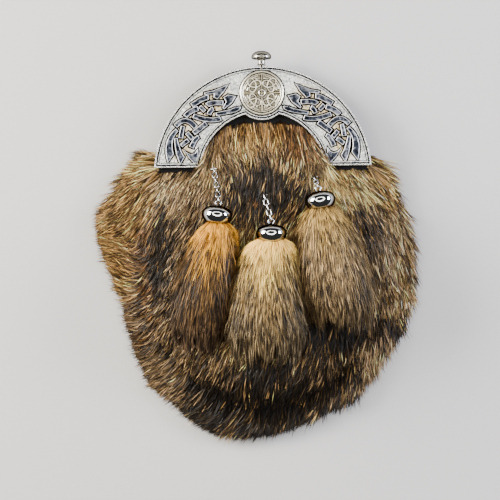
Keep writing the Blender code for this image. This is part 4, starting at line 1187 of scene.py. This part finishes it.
def spreadHairs(plan, dice):
    # a clump's hairs: apart at the skin and gathered towards the tip, each of its own length and turn
    total = len(plan)
    angle, radius = dice.uniform(0, 2 * math.pi, total), np.sqrt(dice.random(total))
    ring = np.stack((np.cos(angle), np.sin(angle)), 1) * radius[:, None]
    gathered = smoothStep(np.array(coat["steps"]), 0.1, 0.85)[None, :, None]
    plan = plan + ring[:, None] * (coat["spread"] * (1 - gathered) + coat["gather"] * gathered)
    away = (plan - plan[:, :1]) * dice.uniform(0.78, 1.0, total)[:, None, None]
    turn = np.radians(dice.normal(0, coat["stray"], total))[:, None]
    c, s = np.cos(turn), np.sin(turn)
    x, y = away[..., 0], away[..., 1]
    return plan[:, :1] + np.stack((x * c - y * s, x * s + y * c), -1)


def growCoat():
    dice = np.random.default_rng(coat["seed"])
    plan, rises, tones, bright = layClumps(dice)
    owner = np.repeat(np.arange(len(plan)), coat["hairs"])
    plan = spreadHairs(plan[owner], dice)
    lines = liftLines(plan, rises[owner] * dice.uniform(0.75, 1.1, len(owner)))
    colours, dark = toneColours(coatTones, tones[owner])
    # hair that starts at the leather's edge shows its paler middle at once
    nearEdge = np.maximum(1 - archGap(plan[:, 0]) / coat["edgeWide"], readGrid("edge", plan[:, 0]) * 3)
    nearEdge = np.clip(nearEdge, 0, 1)[:, None] * coat["edgeBand"]
    for k in (0, 1):
        colours[:, k] = colours[:, k] * (1 - nearEdge) + colours[:, 2] * nearEdge
    shades = bandColours(colours, dark, dice, coat["steps"], coat["uneven"]) * bright[owner][:, None, None]
    widths = coat["width"] * dice.uniform(0.7, 1.25, len(owner))
    return lines, widths, np.clip(shades, 0.001, 0.9), hairSides(lines, dice, coat["twist"])


def hairMaterial(name, low, high):
    # guard hair: keratin, smooth and slightly oily, so a soft highlight along each strand
    made, tree, shader = newMaterial(name, {"Roughness": 0.5, "IOR": 1.55, "Specular IOR Level": 0.16})
    strand = addNode(tree, "Attribute", attribute_name="hairColour")
    place = addNode(tree, "TexCoord", out="Object")
    # slow drift in tone of about 12 mm, as fur fades where it is handled
    drift = addNode(tree, "TexNoise", {"Vector": place, "Scale": 0.08 / mm})
    level = addNode(tree, "MapRange", {"Value": drift, "To Min": low, "To Max": high})
    plug(shader, {"Base Color": addNode(tree, "VectorMath", {0: strand, "Scale": level}, operation="SCALE")})
    return made


def makeCoat():
    fur = hairMaterial("agouti guard hair", 0.5, 0.78)
    lines, widths, shades, sides = growCoat()
    bearing = fromCentre(lines[:, 0, :2])[0]
    for name, (start, end) in coat["sectors"].items():
        mine = (bearing - start) % 360 < (end - start) % 360
        piece = ribbonMesh(name, lines[mine], widths[mine], shades[mine], sides[mine])
        finishPiece(piece, name, fur, "fur_pelt")
        print("  ", name, mine.sum(), "hairs")


makeCoat()
print("stage: coat")

# each tassel; rough is how far its hairs differ in brightness at the head, as a power of e
tassels = {
    "left": {
        # y, middle x, half width, thickness and height of the middle
        "rows": (
            (-31.5, -32.0, 5.6, 10.5, 42.3), (-33.6, -31.8, 8.2, 13.5, 42.3), (-36, -32.0, 10.8, 16, 42.2),
            (-39.5, -32.7, 13.3, 17, 42.3), (-44, -33.6, 15.3, 17.6, 42.4), (-51, -35.0, 16.6, 18, 42.4),
            (-70, -39.5, 18.0, 19, 42.8), (-88, -42.3, 18.8, 18, 41.6), (-107, -44.3, 17.5, 13, 36.8),
            (-120, -45.5, 13.5, 7, 31.0), (-134, -45.5, 9.0, 3, 26.5),
        ),
        "tips": ((-60, -118), (-53, -126), (-45, -132), (-37, -127), (-30, -116)),
        "tones": ("ginger", "fox", "bark"), "slot": "tan_fur", "rough": 0.12, "clumps": 1700, "seed": 3,
    },
    "middle": {
        "rows": (
            (-43.2, 5.0, 5.6, 10.5, 44.8), (-45, 4.8, 10.0, 14, 44.6), (-47.5, 4.4, 14.2, 16.5, 44.4),
            (-51.8, 3.7, 17.2, 18, 44.4), (-58.7, 3.0, 18.8, 19, 44.6), (-71, 1.8, 20.6, 20, 45.0),
            (-89, 1.6, 22.4, 20, 44.8), (-111, 1.2, 25.0, 16, 41.8), (-130, 1.0, 22.0, 8, 35.5),
            (-148, 1.0, 18.0, 3, 29.0),
        ),
        "tips": ((-25, -134), (-20, -147), (-10, -140), (1, -136), (12, -145), (20, -138), (29, -129)),
        "tones": ("cream", "silver", "slate"), "slot": "cream_fur", "rough": 0.06, "clumps": 2000, "seed": 5,
    },
    "right": {
        "rows": (
            (-21.2, 39.6, 5.6, 10.5, 40.2), (-23.5, 39.9, 8.6, 13, 40.2), (-26, 40.3, 11.3, 15.5, 40.2),
            (-31.3, 41.0, 15.2, 17, 40.4), (-39.6, 42.3, 18.8, 18, 40.8), (-48, 43.6, 21.0, 18, 41.2),
            (-70, 46.4, 22.8, 18, 41.6), (-90, 49.4, 22.2, 15, 39.0), (-104, 51.4, 20.0, 9, 34.0),
            (-118, 52.0, 17.0, 3, 29.0),
        ),
        "tips": ((27, -106), (39, -111), (50, -114), (61, -117), (73, -113)),
        "tones": ("wheat", "hare", "peat"), "slot": "agouti_fur", "rough": 0.36, "clumps": 1900, "seed": 7,
    },
}

# root, middle, pale band, tip, and the share of dark guard hairs
tasselTones = {
    "ginger": ("#9a5d0e", "#c48421", "#efac30", "#dc9b29", 0.08),
    "fox": ("#060302", "#1d0f04", "#77572b", "#251606", 0.47),
    "bark": ("#080606", "#1f150f", "#6a543d", "#1c1411", 0.46),
    "cream": ("#e09838", "#fecc62", "#ffd971", "#ffcf67", 0.0),
    "silver": ("#0f0904", "#48361a", "#b59358", "#5b4524", 0.47),
    "slate": ("#060505", "#1e190e", "#8d795a", "#1c1710", 0.52),
    "wheat": ("#422c0a", "#88662f", "#d2ab5f", "#a8833f", 0.27),
    "hare": ("#110b08", "#453521", "#b89765", "#473822", 0.46),
    "peat": ("#090605", "#34291c", "#877151", "#261e13", 0.42),
}

tasselHair = {
    "hairs": 7,  # in a clump
    "length": (16.0, 25.0),
    "spread": 0.055,  # radians round the bundle
    "width": 0.42,
    "steps": (0.0, 0.33, 0.68, 1.0),
    "core": 0.86,  # the stuffed core, as a share of the bundle's radius
    "uneven": 0.52,  # spread of the hairs' brightness under the head
    "wisps": (0.20, 0.38),  # share of dark clumps under the head, and how bright they are
}


def rowValues(rows, y):
    table = np.array(rows, float)[::-1]
    return [np.interp(y, table[:, 0], table[:, k]) for k in range(1, 5)]


def bundlePlace(rows, y, angle, share):
    middle, half, thick, height = rowValues(rows, y)
    across, up = half * np.cos(angle), thick / 2 * np.sin(angle)
    return np.stack((middle + across * share, y, height + up * share), -1)


def makeTasselCore(spec):
    rows = spec["rows"][:-1]
    bpy.ops.mesh.primitive_uv_sphere_add(segments=32, ring_count=14, radius=1)
    core = bpy.context.object
    low, high = rows[-1][0], rows[0][0] + 1
    for vert in core.data.vertices:
        along = math.acos(max(-1, min(1, vert.co.z))) / math.pi
        rounding = min(1, 8 * along, 5 * (1 - along)) ** 0.5
        angle = math.atan2(vert.co.y, vert.co.x)
        vert.co = bundlePlace(rows, high + (low - high) * along, angle, tasselHair["core"] * rounding) * mm
    fixNormals(core)
    applyAll(core)
    bpy.ops.object.shade_smooth()
    # the underfur takes its tone from the hair over it: pale at the head, dark lower down
    head, body = (np.array(linearColour(tasselTones[tone][1])) for tone in spec["tones"][:2])
    places = np.array([vert.co.y for vert in core.data.vertices]) / mm
    pale = (1 - smoothStep(np.interp(places, (low, high), (1, 0)), 0.12, 0.4))[:, None]
    paintPoints(core.data, head * pale + body * 0.3 * (1 - pale))
    return core


def tasselShares(spec, along, angle, dice):
    # head, middle and end tones, which fade into each other, sooner at the bundle's sides: a painted shade,
    # the sides taking the darker lower tones early
    sideShade = 0.24 * np.cos(angle) ** 2 * smoothStep(along, 0.03, 0.2)
    place = along + dice.normal(0, 0.09, len(along)) + sideShade
    second, third = smoothStep(place, 0.02, 0.42), smoothStep(place, 0.4, 0.95)
    shares = np.stack((1 - second, second * (1 - third), second * third), 1)
    table = [toneColours(tasselTones, list(tasselTones).index(name)) for name in spec["tones"]]
    colours = sum(shares[:, k, None, None] * row[0][None] for k, row in enumerate(table))
    return colours, sum(shares[:, k] * row[1] for k, row in enumerate(table))


def growTassel(spec):
    dice = np.random.default_rng(spec["seed"])
    rows, count = spec["rows"], spec["clumps"]
    top, bottom, end = rows[0][0], rows[-3][0], rows[-2][0]
    along = dice.random(count)
    angle = dice.uniform(-0.35 * math.pi, 1.35 * math.pi, count)
    length = dice.uniform(*tasselHair["length"], count)
    length *= np.interp(along, (0, 0.1, 0.25, 1), (0.35, 0.5, 0.95, 1.05))
    # the last hairs gather into the tassel's pointed locks
    tips = np.array(spec["tips"], float)
    middle, half = rowValues(rows, end)[:2]
    endX = middle + np.cos(angle) * half
    tipX, tipY = tips[np.abs(endX[:, None] - tips[None, :, 0]).argmin(1)].T

    owner = np.repeat(np.arange(count), tasselHair["hairs"])
    total = len(owner)
    steps = np.array(tasselHair["steps"])
    gathered = smoothStep(steps, 0.1, 0.9)[None]
    lower = smoothStep(along, 0.08, 0.34)[owner]  # the head is clipped short and even
    loose = dice.normal(0, 1, total)[:, None] * tasselHair["spread"] * (1 - 0.75 * gathered * lower[:, None])
    strandAngle = angle[owner][:, None] + loose
    strandLength = (length[owner] * dice.uniform(0.78, 1.0, total))[:, None]
    y = ((top + (bottom - top) * along)[owner] + dice.normal(0, 0.9, total))[:, None] - strandLength * steps
    y = np.maximum(y, tipY[owner][:, None] + np.abs(dice.normal(0, 5.0, total))[:, None])
    share = 0.88 + dice.uniform(0.05, 0.22, total)[:, None] * smoothStep(steps, 0, 0.5)[None]
    lines = bundlePlace(rows, y, strandAngle, share)
    lines[..., 0] += dice.normal(0, 0.10, total)[:, None] * strandLength * steps
    pull = smoothStep(bottom + 6 - y, 0, 26) * dice.uniform(0.15, 0.75, total)[:, None]
    lines[..., 0] += (tipX[owner][:, None] - lines[..., 0]) * pull

    colours, dark = tasselShares(spec, along, angle, dice)
    uneven = spec["rough"] * (1 - lower) + tasselHair["uneven"] * lower
    shades = bandColours(colours[owner], dark[owner], dice, tasselHair["steps"], uneven)
    bright = np.exp(dice.normal(0, 0.12, count) * (0.3 + 0.7 * smoothStep(along, 0.1, 0.4)))
    wisps, dimmed = tasselHair["wisps"]
    bright[dice.random(count) < wisps * smoothStep(along, 0.04, 0.3)] *= dimmed
    shades *= bright[owner][:, None, None]
    widths = tasselHair["width"] * dice.uniform(0.7, 1.3, total) * (0.7 + 0.3 * lower)
    outward = np.stack((np.cos(strandAngle[:, 0]), np.zeros(total), np.sin(strandAngle[:, 0])), 1)
    sides = hairSides(lines, dice, 0.12 + 0.14 * lower[:, None, None], outward)
    return lines, widths, np.clip(shades, 0.001, 0.98), sides


def coreMaterial(name):
    # matted underfur: no shine at all, mottled light and dark along the strands
    made, tree, shader = newMaterial(name, {"Roughness": 0.95, "Specular IOR Level": 0.1})
    tone = addNode(tree, "Attribute", attribute_name="hairColour")
    place = addNode(tree, "TexCoord", out="Object")
    drawn = addNode(tree, "Mapping", {"Vector": place, "Scale": (1.0, 0.12, 1.0)})
    strands = addNode(tree, "TexNoise", {"Vector": drawn, "Scale": 1.4 / mm, "Detail": 2.0})
    level = addNode(tree, "MapRange", {
        "Value": strands, "From Min": 0.3, "From Max": 0.6, "To Min": 0.5, "To Max": 1.0})
    plug(shader, {"Base Color": addNode(tree, "VectorMath", {0: tone, "Scale": level}, operation="SCALE")})
    return made


def makeTassels():
    soft, underfur = hairMaterial("soft tassel hair", 0.85, 1.15), coreMaterial("matted underfur")
    for side, spec in tassels.items():
        node = "tassel_fur_" + side
        finishPiece(makeTasselCore(spec), "tassel_core_" + side, underfur, node)
        hair = ribbonMesh("tassel_hair_" + side, *growTassel(spec))
        finishPiece(hair, "tassel_hair_" + side, soft, node)


makeTassels()
print("stage: tassels")

bpy.context.view_layer.update()
